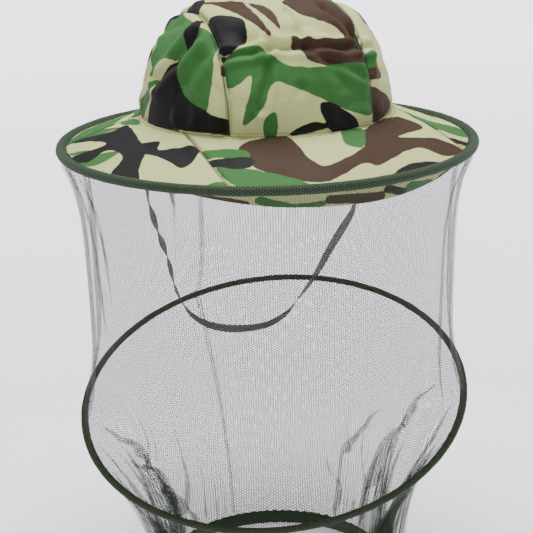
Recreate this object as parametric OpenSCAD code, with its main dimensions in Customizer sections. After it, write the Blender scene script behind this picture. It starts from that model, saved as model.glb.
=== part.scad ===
// Beekeeping veil: a camouflage cloth hat whose wired brim carries a net, held open
// lower down by a second hoop and gathered at the hem by an elastic.
// Millimetres. The origin is the centre of the head opening, +Z is up and the front
// faces -Y. Angles called azimuths are seen from above, 0 at the front, growing to +X.

/* [Crown] */
// Diameter of the crown where it is sewn to the brim
crown_d = 230; // [200:1:276]
// Height of the crown from that seam to its top
crown_h = 110; // [90:1:150]
// Squareness of the crown's shoulder, where 2 is round
crown_square = 2.3; // [2:0.1:4]
// Width of the strip that runs over the top from front to back
strip_w = 132; // [100:1:175]
// How far round from the front the strip is sewn in
crown_turn = -5; // [-15:1:15]
// Thickness of the hat cloth
cloth_t = 1; // [0.6:0.1:1.6]
// Width of the tape that covers each crown seam inside
tape_w = 12; // [8:1:20]
// Thickness of that tape
tape_t = 0.6; // [0.4:0.1:1]

/* [Sweatband] */
// Height of the sweatband
band_h = 28; // [20:1:36]
// Thickness of the sweatband
band_t = 1.6; // [1:0.1:2.5]

/* [Brim] */
// Diameter of the wire ring in the edge of the brim
brim_d = 380; // [310:1:460]
// How far the edge of the brim lies below the crown seam
brim_drop = 28; // [15:1:45]
// Half angle of the front panel where it meets the crown
front_inner_a = 70; // [55:1:80]
// Half angle of the front panel at the edge of the brim
front_outer_a = 40; // [30:1:60]
// Azimuth of each back seam
back_seam_a = 118; // [105:1:150]
// How far round from the crown's front the brim is sewn on
brim_turn = 7; // [-15:1:15]
// Depth of the facing that hangs inside the front edge
facing_h = 14; // [8:1:20]
// Half angle that the facing covers
facing_a = 48; // [30:1:60]

/* [Brim edge] */
// Diameter of the spring wire in the brim edge
rim_wire_d = 2.4; // [1.6:0.1:3]
// Outer diameter of the plastic tube round that wire
rim_tube_d = 6.6; // [5.2:0.1:8]
// Outer diameter of the cloth binding round the tube
rim_binding_d = 8.8; // [7.6:0.1:11]

/* [Lower hoop] */
// Diameter of the lower hoop's wire ring
hoop_d = 370; // [300:1:440]
// Distance from the brim edge down to the middle of the lower hoop
hoop_drop = 250; // [210:1:300]
// Tilt of the lower hoop as the net hangs
hoop_tilt = 19.5; // [0:0.5:20]
// Azimuth of the hoop's lowest point
hoop_turn = -37; // [-180:1:180]
// Diameter of the spring wire in the lower hoop
hoop_wire_d = 1.8; // [1.2:0.1:2.2]
// Outer diameter of the plastic tube round that wire
hoop_tube_d = 4.4; // [3.8:0.1:4.6]
// Outer diameter of the cloth binding round the tube
hoop_binding_d = 6; // [5.2:0.1:8]
// Wall of the crimped sleeve that joins the two ends of each wire
joiner_wall = 0.6; // [0.4:0.1:0.7]
// Length of that sleeve
joiner_l = 30; // [15:1:50]

/* [Net] */
// Length of the veil from the brim edge to the bottom of the hem
veil_l = 445; // [400:1:520]
// How far the net between the hoops draws in at its waist
net_waist = 18; // [5:1:30]
// Thickness that stands for the net
net_t = 1; // [0.8:0.1:1.5]
// Width of the net's sewn seam
net_seam_w = 8; // [5:1:12]
// Azimuth of the net's sewn seam
net_seam_a = 180; // [90:1:270]

/* [Hem] */
// Diameter of the gathered hem
hem_d = 216; // [150:1:260]
// Height of the hem's casing
hem_h = 14; // [10:1:20]
// Thickness of the hem's casing across its gathers
hem_t = 5; // [4:0.5:8]
// Width of the elastic inside the hem
elastic_w = 8; // [5:0.5:9]
// Thickness of that elastic
elastic_t = 1.4; // [1:0.1:2]

/* [Chin strap] */
// Width of the chin strap's ribbon
strap_w = 10; // [8:0.5:14]
// Thickness of the ribbon
strap_t = 1; // [0.6:0.1:1.6]
// Height of the tab that sews each end of the strap to the sweatband
tab_h = 22; // [16:1:30]
// How far that tab reaches below the crown seam
tab_drop = 8; // [4:1:12]

/* [Hidden] */

// Roundness of turned pieces, and how finely each curve is divided
$fn = 128;
dome_steps = 14;
net_columns = 72;
upper_net_rows = 10;
lower_net_rows = 7;

// Gap between sewn pieces, so that each stays a solid of its own
gap = 0.2;

crown_r = crown_d / 2;
rim_r = brim_d / 2;
rim_z = -brim_drop;
hoop_r = hoop_d / 2;
hoop_z = rim_z - hoop_drop;
hem_r = hem_d / 2;
hem_z = rim_z - veil_l;
far = 2 * rim_r;

// Radii across the brim edge and across the hoop, from the wire outwards
rim_binding_r = rim_binding_d / 2;
hoop_binding_r = hoop_binding_d / 2;
wire_clearance = 0.1;

// Radius of the crown's outside at a height above its seam
function dome_r(z) = crown_r * pow(1 - pow(z / crown_h, crown_square), 1 / crown_square);

// Outline of the crown, drawn in from its outside by a depth
function dome_point(u, depth) = [
  (crown_r - depth) * pow(abs(cos(u)), 2 / crown_square),
  (crown_h - depth) * pow(abs(sin(u)), 2 / crown_square)
];
function dome_outline(depth) = [
  for (i = [0:dome_steps]) i == dome_steps ? [0, crown_h - depth]
                                           : dome_point(90 * i / dome_steps, depth)
];
function reversed(list) = [for (i = [len(list) - 1:-1:0]) list[i]];

// A point in plan at a radius and an azimuth
function plan(r, a) = [r * sin(a), -r * cos(a)];

// The sewn line between the front panel and the right panel of the brim
seam_inner = plan(crown_r, front_inner_a);
seam_outer = plan(rim_r, front_outer_a);
seam_run = seam_outer - seam_inner;
seam_near = seam_inner - seam_run * 0.5;
seam_far = seam_inner + seam_run * 2;

// Inside of the crown's wall at the top of the sweatband
band_r = dome_r(band_h) - cloth_t - gap;
tab_r = band_r - band_t - gap - strap_t;

// Turns a point about the vertical axis
function turned(p, a) = [
  p[0] * cos(a) - p[1] * sin(a),
  p[0] * sin(a) + p[1] * cos(a),
  p[2]
];

// Points on the brim edge, on the tilted hoop and on the hem, b degrees round from
// the hoop's lowest point
function rim_point(r, b, z) = turned([r * sin(b), -r * cos(b), z], hoop_turn);
function hoop_point(r, b) =
  turned([r * sin(b), -r * cos(b) * cos(hoop_tilt), -r * cos(b) * sin(hoop_tilt)], hoop_turn)
  + [0, 0, hoop_z];

// A point moved away from the vertical axis
function spread(p, d) = let (r = norm([p[0], p[1]])) [
  p[0] * (r + d) / r, p[1] * (r + d) / r, p[2]
];

// The upper net, t from 0 at the brim edge to 1 at the hoop. It draws in to a waist.
upper_top_z = rim_z - rim_binding_r - gap;
function upper_net_point(t, b, d) =
  let (
    top = rim_point(rim_r, b, upper_top_z),
    bottom = hoop_point(hoop_r, b) + [0, 0, hoop_binding_r + gap],
    draw = net_waist * (1 - pow(abs(2 * t - 1), 4))
  ) spread(top + (bottom - top) * t, d - draw);

// The lower net, t from 0 at the hoop to 1 at the hem. It falls inwards, then down.
lower_end_z = hem_z + hem_h + gap;
function lower_net_point(t, b, d) =
  let (
    top = hoop_point(hoop_r, b) - [0, 0, hoop_binding_r + gap],
    bottom = rim_point(hem_r, b, lower_end_z),
    inwards = 1 - pow(1 - t, 1.8),
    r = norm([top[0], top[1]]) * (1 - inwards) + hem_r * inwards,
    level = top * (1 - t) + bottom * t
  ) spread(level, r - norm([level[0], level[1]]) + d);

// Joins rings of points into a solid. Closed rings of rings need no end caps.
module skin(rings, closed) {
  n = len(rings);
  m = len(rings[0]);
  spans = closed ? n : n - 1;
  sides = [
    for (i = [0:spans - 1], j = [0:m - 1]) let (k = (i + 1) % n, l = (j + 1) % m)
      each [[i * m + j, k * m + j, k * m + l], [i * m + j, k * m + l, i * m + l]]
  ];
  first_cap = [for (j = [0:m - 1]) j];
  last_cap = [for (j = [m - 1:-1:0]) (n - 1) * m + j];
  polyhedron([for (ring = rings) each ring],
             closed ? sides : concat(sides, [first_cap, last_cap]));
}

// Route of the chin strap: each point's place, then the ribbon's twist in degrees
strap_route = [
  [-105, 30, -8, 0], [-107, 30, -30, 0], [-109, 29, -54, -10], [-109, 28, -78, -20],
  [-106, 27, -100, -30], [-98, 25, -120, -30], [-92, 24, -144, -20], [-87, 22, -168, 0],
  [-77, 21, -189, 20], [-60, 20, -204, 30], [-38, 18, -212, 30], [-15, 17, -215, 20],
  [6, 17, -214, 10], [24, 17, -206, -10], [40, 18, -191, -40], [58, 20, -172, -60],
  [74, 23, -151, -75], [90, 25, -131, -80], [102, 27, -116, -60], [108, 29, -96, -30],
  [109, 30, -74, -10], [108, 30, -50, 0], [107, 30, -28, 0], [105, 30, -8, 0]
];
strap_turns_per_span = 2;

// Half of a rounded ribbon's section is one unit wide and one unit thick
ribbon_section = [
  [1, -0.4], [1, 0.4], [0.9, 1], [-0.9, 1], [-1, 0.4], [-1, -0.4], [-0.9, -1], [0.9, -1]
];

// A smooth curve through the route's points
function curve_point(route, i, f) =
  let (
    p0 = route[max(i - 1, 0)],
    p1 = route[i],
    p2 = route[min(i + 1, len(route) - 1)],
    p3 = route[min(i + 2, len(route) - 1)]
  ) 0.5 * (2 * p1 + (p2 - p0) * f + (2 * p0 - 5 * p1 + 4 * p2 - p3) * f * f
           + (3 * p1 - p0 - 3 * p2 + p3) * f * f * f);
function smooth_route(route, steps) = [
  for (i = [0:len(route) - 2], s = [0:steps - 1]) curve_point(route, i, s / steps),
  route[len(route) - 1]
];
function place(p) = [p[0], p[1], p[2]];
function unit(v) = v / norm(v);

// Section of the ribbon at one station of its route. Untwisted, its width runs front to back.
function ribbon_ring(route, i) =
  let (
    along = unit(place(route[min(i + 1, len(route) - 1)]) - place(route[max(i - 1, 0)])),
    width = unit([0, 1, 0] - along * along[1]),
    flat = cross(along, width),
    a = route[i][3],
    across = width * cos(a) + flat * sin(a),
    through = flat * cos(a) - width * sin(a)
  ) [for (s = ribbon_section)
      place(route[i]) + across * s[0] * strap_w / 2 + through * s[1] * strap_t / 2];

// A thin dome: the crown's cloth between two depths
module dome(outer_depth, inner_depth) {
  rotate_extrude()
    polygon(concat(dome_outline(outer_depth), reversed(dome_outline(inner_depth))));
}

// Upright slab between two values of x, above the crown's seam
module slab(x0, x1, z0) {
  translate([x0, -far, z0]) cube([x1 - x0, 2 * far, crown_h + far]);
}

module side_panel(side) {
  rotate([0, 0, crown_turn]) intersection() {
    dome(0, cloth_t);
    mirror([side < 0 ? 1 : 0, 0, 0]) slab(strip_w / 2 + gap / 2, far, gap);
  }
}

module seam_tape(side) {
  rotate([0, 0, crown_turn]) intersection() {
    dome(cloth_t + gap, cloth_t + gap + tape_t);
    translate([side * strip_w / 2, 0, 0]) slab(-tape_w / 2, tape_w / 2, band_h + gap);
  }
}

// The whole cloth of the brim, a shallow cone between the crown and the binding
module brim_cloth() {
  inner = crown_r - cloth_t;
  outer = rim_r - rim_binding_r - gap;
  rotate_extrude() polygon([
    [inner, -cloth_t], [outer, rim_z - cloth_t / 2], [outer, rim_z + cloth_t / 2], [inner, 0]
  ]);
}

// Cuts the brim cloth to an outline seen from above, then turns it as it is sewn on
module brim_cut(outline) {
  rotate([0, 0, brim_turn]) intersection() {
    brim_cloth();
    translate([0, 0, -far]) linear_extrude(2 * far) polygon(outline);
  }
}

function mirrored(points, side) = [for (p = points) [side * p[0], p[1]]];

module brim_side(side) {
  brim_cut(mirrored([
    [0, 0], seam_near + [gap, 0], seam_far + [gap, 0], [far, seam_far[1]], [far, 0],
    plan(far, back_seam_a)
  ], side));
}

// A ring of round tube, centred on its own plane
module tube_ring(ring_r, outer_r, bore_r) {
  rotate_extrude() translate([ring_r, 0]) difference() {
    circle(r = outer_r, $fn = 48);
    circle(r = bore_r, $fn = 48);
  }
}

module wire_ring(ring_r, wire_d) {
  rotate_extrude() translate([ring_r, 0]) circle(d = wire_d, $fn = 48);
}

// The crimped sleeve over the wire's two ends, at the back of its ring
module wire_joiner(ring_r, wire_d) {
  angle = 360 * joiner_l / (2 * PI * ring_r);
  rotate([0, 0, 90 - angle / 2]) rotate_extrude(angle = angle) translate([ring_r, 0])
    difference() {
      circle(d = wire_d + 2 * joiner_wall, $fn = 48);
      circle(d = wire_d + wire_clearance, $fn = 48);
    }
}

// Room for the joiner between the wire and its tube
function tube_bore_r(wire_d) = wire_d / 2 + joiner_wall + wire_clearance;

module at_rim() {
  translate([0, 0, rim_z]) children();
}

module at_hoop() {
  translate([0, 0, hoop_z]) rotate([0, 0, hoop_turn]) rotate([hoop_tilt, 0, 0]) children();
}

module strap_tab(side) {
  end = strap_route[0];
  hem = 1;
  rotate([0, 0, -side * atan2(end[0], -end[1])])
    translate([-strap_w / 2 - hem, -tab_r - strap_t, gap - tab_drop])
      cube([strap_w + 2 * hem, strap_t, tab_h]);
}

// ---- crown ----

module crown_centre_panel() {
  color("darkkhaki") rotate([0, 0, crown_turn]) intersection() {
    dome(0, cloth_t);
    slab(-strip_w / 2 + gap / 2, strip_w / 2 - gap / 2, gap);
  }
}

module crown_left_panel() {
  color("olivedrab") side_panel(-1);
}

module crown_right_panel() {
  color("olivedrab") side_panel(1);
}

module crown_left_seam_tape() {
  color("darkslategray") seam_tape(-1);
}

module crown_right_seam_tape() {
  color("darkslategray") seam_tape(1);
}

module sweatband() {
  color("darkslategray") rotate_extrude()
    translate([band_r - band_t, gap]) square([band_t, band_h - gap]);
}

// ---- brim ----

module brim_front_panel() {
  color("darkkhaki") brim_cut([
    seam_near, seam_far, [-seam_far[0], seam_far[1]], [-seam_near[0], seam_near[1]]
  ]);
}

module brim_left_panel() {
  color("yellowgreen") brim_side(-1);
}

module brim_right_panel() {
  color("yellowgreen") brim_side(1);
}

module brim_back_panel() {
  color("darkkhaki") brim_cut([
    [0, 2 * gap], plan(far, back_seam_a) + [0, 2 * gap], [far, 2 * far], [-far, 2 * far],
    plan(far, -back_seam_a) + [0, 2 * gap]
  ]);
}

// A strip that tapers away to nothing at each side of the front. It leans in with the net
// outside it, whose flat spans cut a little inside their circle.
module brim_facing() {
  top = upper_top_z - gap;
  top_inset = 2;
  top_r = rim_r - top_inset;
  share = facing_h / hoop_drop;
  net_span_inset = rim_r * (1 - cos(180 / net_columns));
  net_inset = net_waist * (1 - pow(1 - 2 * share, 4)) + share * max(rim_r - hoop_r, 0);
  lean = net_inset + net_span_inset + net_t / 2 + gap - top_inset;
  end_y = -top_r * cos(facing_a);
  slope = facing_h / (top_r + end_y);
  reach = top_r + cloth_t;
  color("olivedrab") intersection() {
    rotate_extrude() polygon([
      [top_r - cloth_t, top], [top_r, top],
      [top_r - lean, top - facing_h], [top_r - lean - cloth_t, top - facing_h]
    ]);
    rotate([90, 0, 90]) linear_extrude(2 * far, center = true) polygon([
      [end_y, top + gap], [end_y, top], [-reach, top - slope * (reach + end_y)], [-reach, top + gap]
    ]);
  }
}

module brim_wire() {
  color("silver") at_rim() wire_ring(rim_r, rim_wire_d);
}

module brim_wire_joiner() {
  color("gray") at_rim() wire_joiner(rim_r, rim_wire_d);
}

module brim_wire_tube() {
  color("black") at_rim() tube_ring(rim_r, rim_tube_d / 2, tube_bore_r(rim_wire_d));
}

module brim_binding() {
  color("darkgreen") at_rim() tube_ring(rim_r, rim_binding_r, rim_tube_d / 2 + wire_clearance);
}

// ---- net between the hoops ----

module upper_net() {
  color("dimgray", 0.5) skin([
    for (c = [0:net_columns - 1]) let (b = 360 * c / net_columns) [
      for (i = [0:upper_net_rows]) upper_net_point(i / upper_net_rows, b, net_t / 2),
      for (i = [upper_net_rows:-1:0]) upper_net_point(i / upper_net_rows, b, -net_t / 2)
    ]
  ], true);
}

module upper_net_seam() {
  b = net_seam_a - hoop_turn;
  half_a = net_seam_w / 2 / rim_r * 180 / PI;
  near = net_t / 2 + gap;
  color("darkgreen") skin([
    for (i = [0:upper_net_rows]) let (t = i / upper_net_rows) [
      upper_net_point(t, b - half_a, near), upper_net_point(t, b - half_a, near + net_t),
      upper_net_point(t, b + half_a, near + net_t), upper_net_point(t, b + half_a, near)
    ]
  ], false);
}

// ---- lower hoop ----

module hoop_wire() {
  color("silver") at_hoop() wire_ring(hoop_r, hoop_wire_d);
}

module hoop_wire_joiner() {
  color("gray") at_hoop() wire_joiner(hoop_r, hoop_wire_d);
}

module hoop_wire_tube() {
  color("black") at_hoop() tube_ring(hoop_r, hoop_tube_d / 2, tube_bore_r(hoop_wire_d));
}

module hoop_binding() {
  color("darkgreen") at_hoop() tube_ring(hoop_r, hoop_binding_r, hoop_tube_d / 2 + wire_clearance);
}

// ---- net below the hoop, and its hem ----

module lower_net() {
  color("dimgray", 0.5) skin([
    for (c = [0:net_columns - 1]) let (b = 360 * c / net_columns) [
      for (i = [0:lower_net_rows]) lower_net_point(i / lower_net_rows, b, net_t / 2),
      for (i = [lower_net_rows:-1:0]) lower_net_point(i / lower_net_rows, b, -net_t / 2)
    ]
  ], true);
}

module lower_net_seam() {
  b = net_seam_a - hoop_turn;
  half_a = net_seam_w / 2 / hoop_r * 180 / PI;
  near = net_t / 2 + gap;
  color("darkgreen") skin([
    for (i = [0:lower_net_rows]) let (t = i / lower_net_rows) [
      lower_net_point(t, b - half_a, near), lower_net_point(t, b - half_a, near + net_t),
      lower_net_point(t, b + half_a, near + net_t), lower_net_point(t, b + half_a, near)
    ]
  ], false);
}

module hem_casing() {
  room = 2 * gap;
  color("darkgreen") rotate_extrude() difference() {
    translate([hem_r - hem_t / 2, hem_z]) square([hem_t, hem_h]);
    translate([hem_r - elastic_t / 2 - room, hem_z + (hem_h - elastic_w) / 2 - room])
      square([elastic_t + 2 * room, elastic_w + 2 * room]);
  }
}

module hem_elastic() {
  color("ivory") rotate_extrude()
    translate([hem_r - elastic_t / 2, hem_z + (hem_h - elastic_w) / 2])
      square([elastic_t, elastic_w]);
}

// ---- chin strap ----

module chin_strap() {
  route = smooth_route(strap_route, strap_turns_per_span);
  color("dimgray") skin([for (i = [0:len(route) - 1]) ribbon_ring(route, i)], false);
}

module chin_strap_left_tab() {
  color("darkslategray") strap_tab(-1);
}

module chin_strap_right_tab() {
  color("darkslategray") strap_tab(1);
}

crown_centre_panel();
crown_left_panel();
crown_right_panel();
crown_left_seam_tape();
crown_right_seam_tape();
sweatband();
brim_front_panel();
brim_left_panel();
brim_right_panel();
brim_back_panel();
brim_facing();
brim_wire();
brim_wire_joiner();
brim_wire_tube();
brim_binding();
upper_net();
upper_net_seam();
hoop_wire();
hoop_wire_joiner();
hoop_wire_tube();
hoop_binding();
lower_net();
lower_net_seam();
hem_casing();
hem_elastic();
chin_strap();
chin_strap_left_tab();
chin_strap_right_tab();
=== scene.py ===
"""Looks of the beekeeping veil: a camouflage cloth hat whose wired brim carries a net, held
open by a second hoop and gathered at the hem. Metres, in the CAD model's own frame.

Azimuths are in degrees seen from above, 0 at the front (-Y) and growing towards +X.
"""

import math
import random

import bmesh
import bpy
import numpy as np
from mathutils import Matrix, Vector, noise


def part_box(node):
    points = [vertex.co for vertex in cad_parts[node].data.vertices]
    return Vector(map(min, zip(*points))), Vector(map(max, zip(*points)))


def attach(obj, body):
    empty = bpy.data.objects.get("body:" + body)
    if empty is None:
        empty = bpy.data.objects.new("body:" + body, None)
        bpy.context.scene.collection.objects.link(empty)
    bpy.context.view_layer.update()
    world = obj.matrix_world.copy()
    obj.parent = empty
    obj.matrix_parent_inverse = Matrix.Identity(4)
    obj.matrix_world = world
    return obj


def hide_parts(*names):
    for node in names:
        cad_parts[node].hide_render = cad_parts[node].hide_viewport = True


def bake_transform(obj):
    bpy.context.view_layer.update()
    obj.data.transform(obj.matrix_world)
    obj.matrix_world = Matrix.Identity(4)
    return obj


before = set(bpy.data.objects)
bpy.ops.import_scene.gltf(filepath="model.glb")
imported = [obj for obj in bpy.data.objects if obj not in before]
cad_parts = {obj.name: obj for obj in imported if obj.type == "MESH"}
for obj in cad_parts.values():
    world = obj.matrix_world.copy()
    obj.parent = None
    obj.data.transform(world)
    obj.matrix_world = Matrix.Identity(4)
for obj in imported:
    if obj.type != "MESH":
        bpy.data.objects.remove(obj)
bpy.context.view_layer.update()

MM = 0.001

# ---------------------------------------------------------------- driving sizes

# Crown. The squareness, the strip and its turn repeat the design's own values.
CROWN_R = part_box("crown_centre_panel")[1].y
CROWN_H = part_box("crown_centre_panel")[1].z
CROWN_SQUARE = 2.3
STRIP_W = 132 * MM
CROWN_TURN = math.radians(-5)
CLOTH_T = 0.7 * MM

# Brim
RIM_LOW, RIM_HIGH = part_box("brim_binding")
RIM_TUBE_R = (RIM_HIGH.z - RIM_LOW.z) / 2
RIM_R = (RIM_HIGH.y - RIM_LOW.y) / 2 - RIM_TUBE_R
RIM_Z = (RIM_HIGH.z + RIM_LOW.z) / 2
BRIM_TURN = 7
FRONT_INNER_A = 70
FRONT_OUTER_A = 40
BACK_SEAM_A = 118
FACING_A = 48
FACING_H = 14 * MM

# Lower hoop
HOOP_LOW, HOOP_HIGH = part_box("hoop_wire")
HOOP_Z = (HOOP_HIGH.z + HOOP_LOW.z) / 2
HOOP_TILT = math.radians(19.5)
HOOP_TURN = math.radians(-37)
HOOP_WIRE_R = 0.9 * MM
HOOP_TUBE_R = 3 * MM
HOOP_R = ((HOOP_HIGH.z - HOOP_LOW.z) / 2 - HOOP_WIRE_R) / math.sin(HOOP_TILT)

# Net and hem
HEM_LOW, HEM_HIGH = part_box("hem_casing")
HEM_R = (HEM_HIGH.x - HEM_LOW.x) / 2 - 2.5 * MM
NET_WAIST = 18 * MM
NET_TAPE_W = 6 * MM
NET_SEAM_A = math.radians(180)

# ---------------------------------------------------------------- shared helpers


def plan(r, azimuth):
    """Points at a radius and an azimuth in degrees, seen from above."""
    a = np.radians(azimuth)
    return np.stack([r * np.sin(a), -r * np.cos(a)], -1)


def turned(points, angle):
    """Points turned about the vertical axis."""
    c, s = math.cos(angle), math.sin(angle)
    x, y, z = np.moveaxis(np.asarray(points, float), -1, 0)
    return np.stack([x * c - y * s, x * s + y * c, z], -1)


def spread(points, distance):
    """Points moved away from the vertical axis."""
    flat = np.hypot(points[..., 0], points[..., 1])
    scale = (flat + distance) / flat
    return np.stack([points[..., 0] * scale, points[..., 1] * scale, points[..., 2]], -1)


def bump(x, width):
    """A smooth bump, 1 at zero and gone two widths away."""
    return np.exp(-(x / width) ** 2)


def angle_gap(a, b):
    """The turn from b to a in radians, between half a turn either way."""
    return np.angle(np.exp(1j * (a - b)))


def curve_stretch(p0, p1, p2, p3, steps):
    """Points from p1 up to p2 on a smooth curve through four points."""
    return [0.5 * (2 * p1 + (p2 - p0) * f + (2 * p0 - 5 * p1 + 4 * p2 - p3) * f * f
                   + (3 * p1 - p0 - 3 * p2 + p3) * f ** 3) for f in np.arange(steps) / steps]


def gap_to_line(x, y, a, b):
    """Distance of points in a plane from the straight stretch between two ends."""
    run = b - a
    share = np.clip(((x - a[0]) * run[0] + (y - a[1]) * run[1]) / max(run @ run, 1e-12), 0, 1)
    return np.hypot(x - a[0] - share * run[0], y - a[1] - share * run[1])


def random_waves(seed, counts):
    """A size and a start for each count of waves round a ring."""
    draw = random.Random(seed)
    return [(n, draw.uniform(0.5, 1.0), draw.uniform(0, 2 * math.pi)) for n in counts]


def ripple(points, size, seed):
    """Smooth noise from -1 to 1 that changes over a given size."""
    shift = Vector((seed * 7.3, seed * 3.1, seed * 5.7))
    flat = np.asarray(points, float).reshape(-1, 3)
    values = [noise.noise(Vector(p) / size + shift) for p in flat]
    return np.array(values).reshape(np.asarray(points).shape[:-1])


def deselect():
    bpy.ops.object.select_all(action="DESELECT")


def activate(obj):
    deselect()
    obj.select_set(True)
    bpy.context.view_layer.objects.active = obj


def apply_modifier(obj, kind, **settings):
    activate(obj)
    modifier = obj.modifiers.new(kind.lower(), kind)
    for key, value in settings.items():
        setattr(modifier, key, value)
    bpy.ops.object.modifier_apply(modifier=modifier.name)


def mesh_object(name, vertices, faces):
    mesh = bpy.data.meshes.new(name)
    mesh.from_pydata(np.asarray(vertices, float).tolist(), [], faces)
    mesh.update()
    obj = bpy.data.objects.new(name, mesh)
    bpy.context.scene.collection.objects.link(obj)
    return obj


def sheet_object(name, points, uv, centre, closed=False):
    """A sheet of quads through rows of points, facing away from a centre.

    A closed sheet joins its last column to its first, and its UV then has one more
    column than its points.
    """
    rows, cols = points.shape[:2]
    spans = cols if closed else cols - 1
    faces = [
        (i * cols + j, i * cols + (j + 1) % cols,
         (i + 1) * cols + (j + 1) % cols, (i + 1) * cols + j)
        for i in range(rows - 1) for j in range(spans)
    ]
    corners = [
        ((i, j), (i, j + 1), (i + 1, j + 1), (i + 1, j))
        for i in range(rows - 1) for j in range(spans)
    ]
    flat = points.reshape(-1, 3)
    quads = flat[np.array(faces)]
    normals = np.cross(quads[:, 2] - quads[:, 0], quads[:, 3] - quads[:, 1])
    outwards = quads.mean(1) - np.array(centre)
    if (normals * outwards).sum() < 0:
        faces = [face[::-1] for face in faces]
        corners = [corner[::-1] for corner in corners]
    obj = mesh_object(name, flat, faces)
    layer = obj.data.uv_layers.new(name="cloth")
    coords = np.array([uv[i, j] for corner in corners for i, j in corner])
    layer.data.foreach_set("uv", coords.astype(np.float32).ravel())
    obj.data.polygons.foreach_set("use_smooth", [True] * len(faces))
    return obj


def run_lengths(points, axis):
    """Distance covered along one axis of a grid of points, starting at zero."""
    steps = np.linalg.norm(np.diff(points, axis=axis), axis=-1)
    start = np.zeros_like(np.take(steps, [0], axis=axis))
    return np.concatenate([start, np.cumsum(steps, axis=axis)], axis=axis)


def cloth_uv(points, closed=False):
    """UV in metres that follows a sheet of points: across, then down."""
    if closed:
        points = np.concatenate([points, points[:, :1]], axis=1)
    across = run_lengths(points, 1)
    middle = np.broadcast_to(across[len(across) // 2], across.shape)
    return np.stack([middle, run_lengths(points, 0)], -1)


def weld(obj, distance=0.01 * MM):
    """Closes the points where a sheet's rows run together."""
    mesh = bmesh.new()
    mesh.from_mesh(obj.data)
    bmesh.ops.remove_doubles(mesh, verts=mesh.verts, dist=distance)
    mesh.to_mesh(obj.data)
    mesh.free()


def paint(obj, material):
    obj.data.materials.clear()
    obj.data.materials.append(material)
    return obj


# ---------------------------------------------------------------- shader groups


class Nodes:
    """Short calls that add nodes to one tree and link them."""

    def __init__(self, tree):
        self.tree = tree

    def add(self, kind, inputs=None, **settings):
        node = self.tree.nodes.new("ShaderNode" + kind)
        for key, value in settings.items():
            setattr(node, key, value)
        for key, value in (inputs or {}).items():
            socket = node.inputs[key]
            if isinstance(value, bpy.types.NodeSocket):
                self.tree.links.new(value, socket)
            else:
                socket.default_value = value
        return node

    def math(self, operation, a, b=0.0, c=0.0):
        node = self.add("Math", {0: a, 1: b, 2: c}, operation=operation)
        return node.outputs[0]

    def mix(self, factor, a, b):
        node = self.add("Mix", data_type="RGBA")
        for key, value in ((0, factor), (6, a), (7, b)):
            if isinstance(value, bpy.types.NodeSocket):
                self.tree.links.new(value, node.inputs[key])
            else:
                node.inputs[key].default_value = value
        return node.outputs[2]

    def ramp(self, value, low, high, start=0.0, end=1.0):
        node = self.add("MapRange", {
            "Value": value, "From Min": low, "From Max": high, "To Min": start, "To Max": end,
        })
        return node.outputs[0]

    def object_place(self):
        return self.add("TexCoord").outputs["Object"]

    def cloth_map(self):
        return self.add("UVMap", uv_map="cloth").outputs[0]

    def stored(self, name):
        return self.add("Attribute", attribute_name=name, attribute_type="GEOMETRY").outputs["Fac"]

    def noise(self, coords, scale, detail=2.0):
        node = self.add("TexNoise", {"Vector": coords, "Scale": scale, "Detail": detail})
        return node.outputs[0]


def new_group(name, inputs, outputs):
    """A shader node group with named inputs and outputs, and its two end nodes."""
    tree = bpy.data.node_groups.new(name, "ShaderNodeTree")
    kinds = {"v": "NodeSocketVector", "f": "NodeSocketFloat", "c": "NodeSocketColor"}
    for label, kind, value in inputs:
        socket = tree.interface.new_socket(label, in_out="INPUT", socket_type=kinds[kind])
        if value is not None:
            socket.default_value = value
    for label, kind in outputs:
        tree.interface.new_socket(label, in_out="OUTPUT", socket_type=kinds[kind])
    start = tree.nodes.new("NodeGroupInput").outputs
    end = tree.nodes.new("NodeGroupOutput").inputs
    return Nodes(tree), start, end


def make_weave_group():
    """Plain weave on UV in metres: the height of its threads and the gaps between them, used for
    painted shade.
    """
    n, start, end = new_group(
        "woven threads", [("UV", "v", None), ("Thread", "f", 0.0004)],
        [("Height", "f"), ("Gap", "f")])
    part = n.add("SeparateXYZ", {0: start["UV"]}).outputs
    turns = n.math("DIVIDE", math.pi, start["Thread"])
    along = n.math("SINE", n.math("MULTIPLY", part[0], turns))
    down = n.math("SINE", n.math("MULTIPLY", part[1], turns))
    over = n.math("MULTIPLY", along, down)
    height = n.math("MULTIPLY_ADD", over, 0.5, 0.5)
    n.tree.links.new(height, end["Height"])
    edge = n.math("MULTIPLY", n.math("ABSOLUTE", along), n.math("ABSOLUTE", down))
    n.tree.links.new(n.ramp(edge, 0.0, 0.25, 1.0, 0.0), end["Gap"])
    return n.tree


def make_honeycomb_group():
    """Six-sided net on UV in metres: a mask that is 1 on its threads."""
    n, start, end = new_group(
        "honeycomb net", [("UV", "v", None), ("Cell", "f", 0.0016), ("Level", "f", -0.9)],
        [("Thread", "f"), ("Height", "f")])
    part = n.add("SeparateXYZ", {0: start["UV"]}).outputs
    wave = n.math("DIVIDE", 4 * math.pi / math.sqrt(3), start["Cell"])
    waves = []
    for turn in (0, 120, 240):
        x = n.math("MULTIPLY", part[0], math.cos(math.radians(turn)))
        y = n.math("MULTIPLY", part[1], math.sin(math.radians(turn)))
        waves.append(n.math("COSINE", n.math("MULTIPLY", n.math("ADD", x, y), wave)))
    total = n.math("ADD", n.math("ADD", waves[0], waves[1]), waves[2])
    low = n.math("SUBTRACT", start["Level"], 0.12)
    high = n.math("ADD", start["Level"], 0.12)
    n.tree.links.new(n.ramp(total, low, high, 1.0, 0.0), end["Thread"])
    n.tree.links.new(n.ramp(total, -1.5, 3.0, 1.0, 0.0), end["Height"])
    return n.tree


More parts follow.
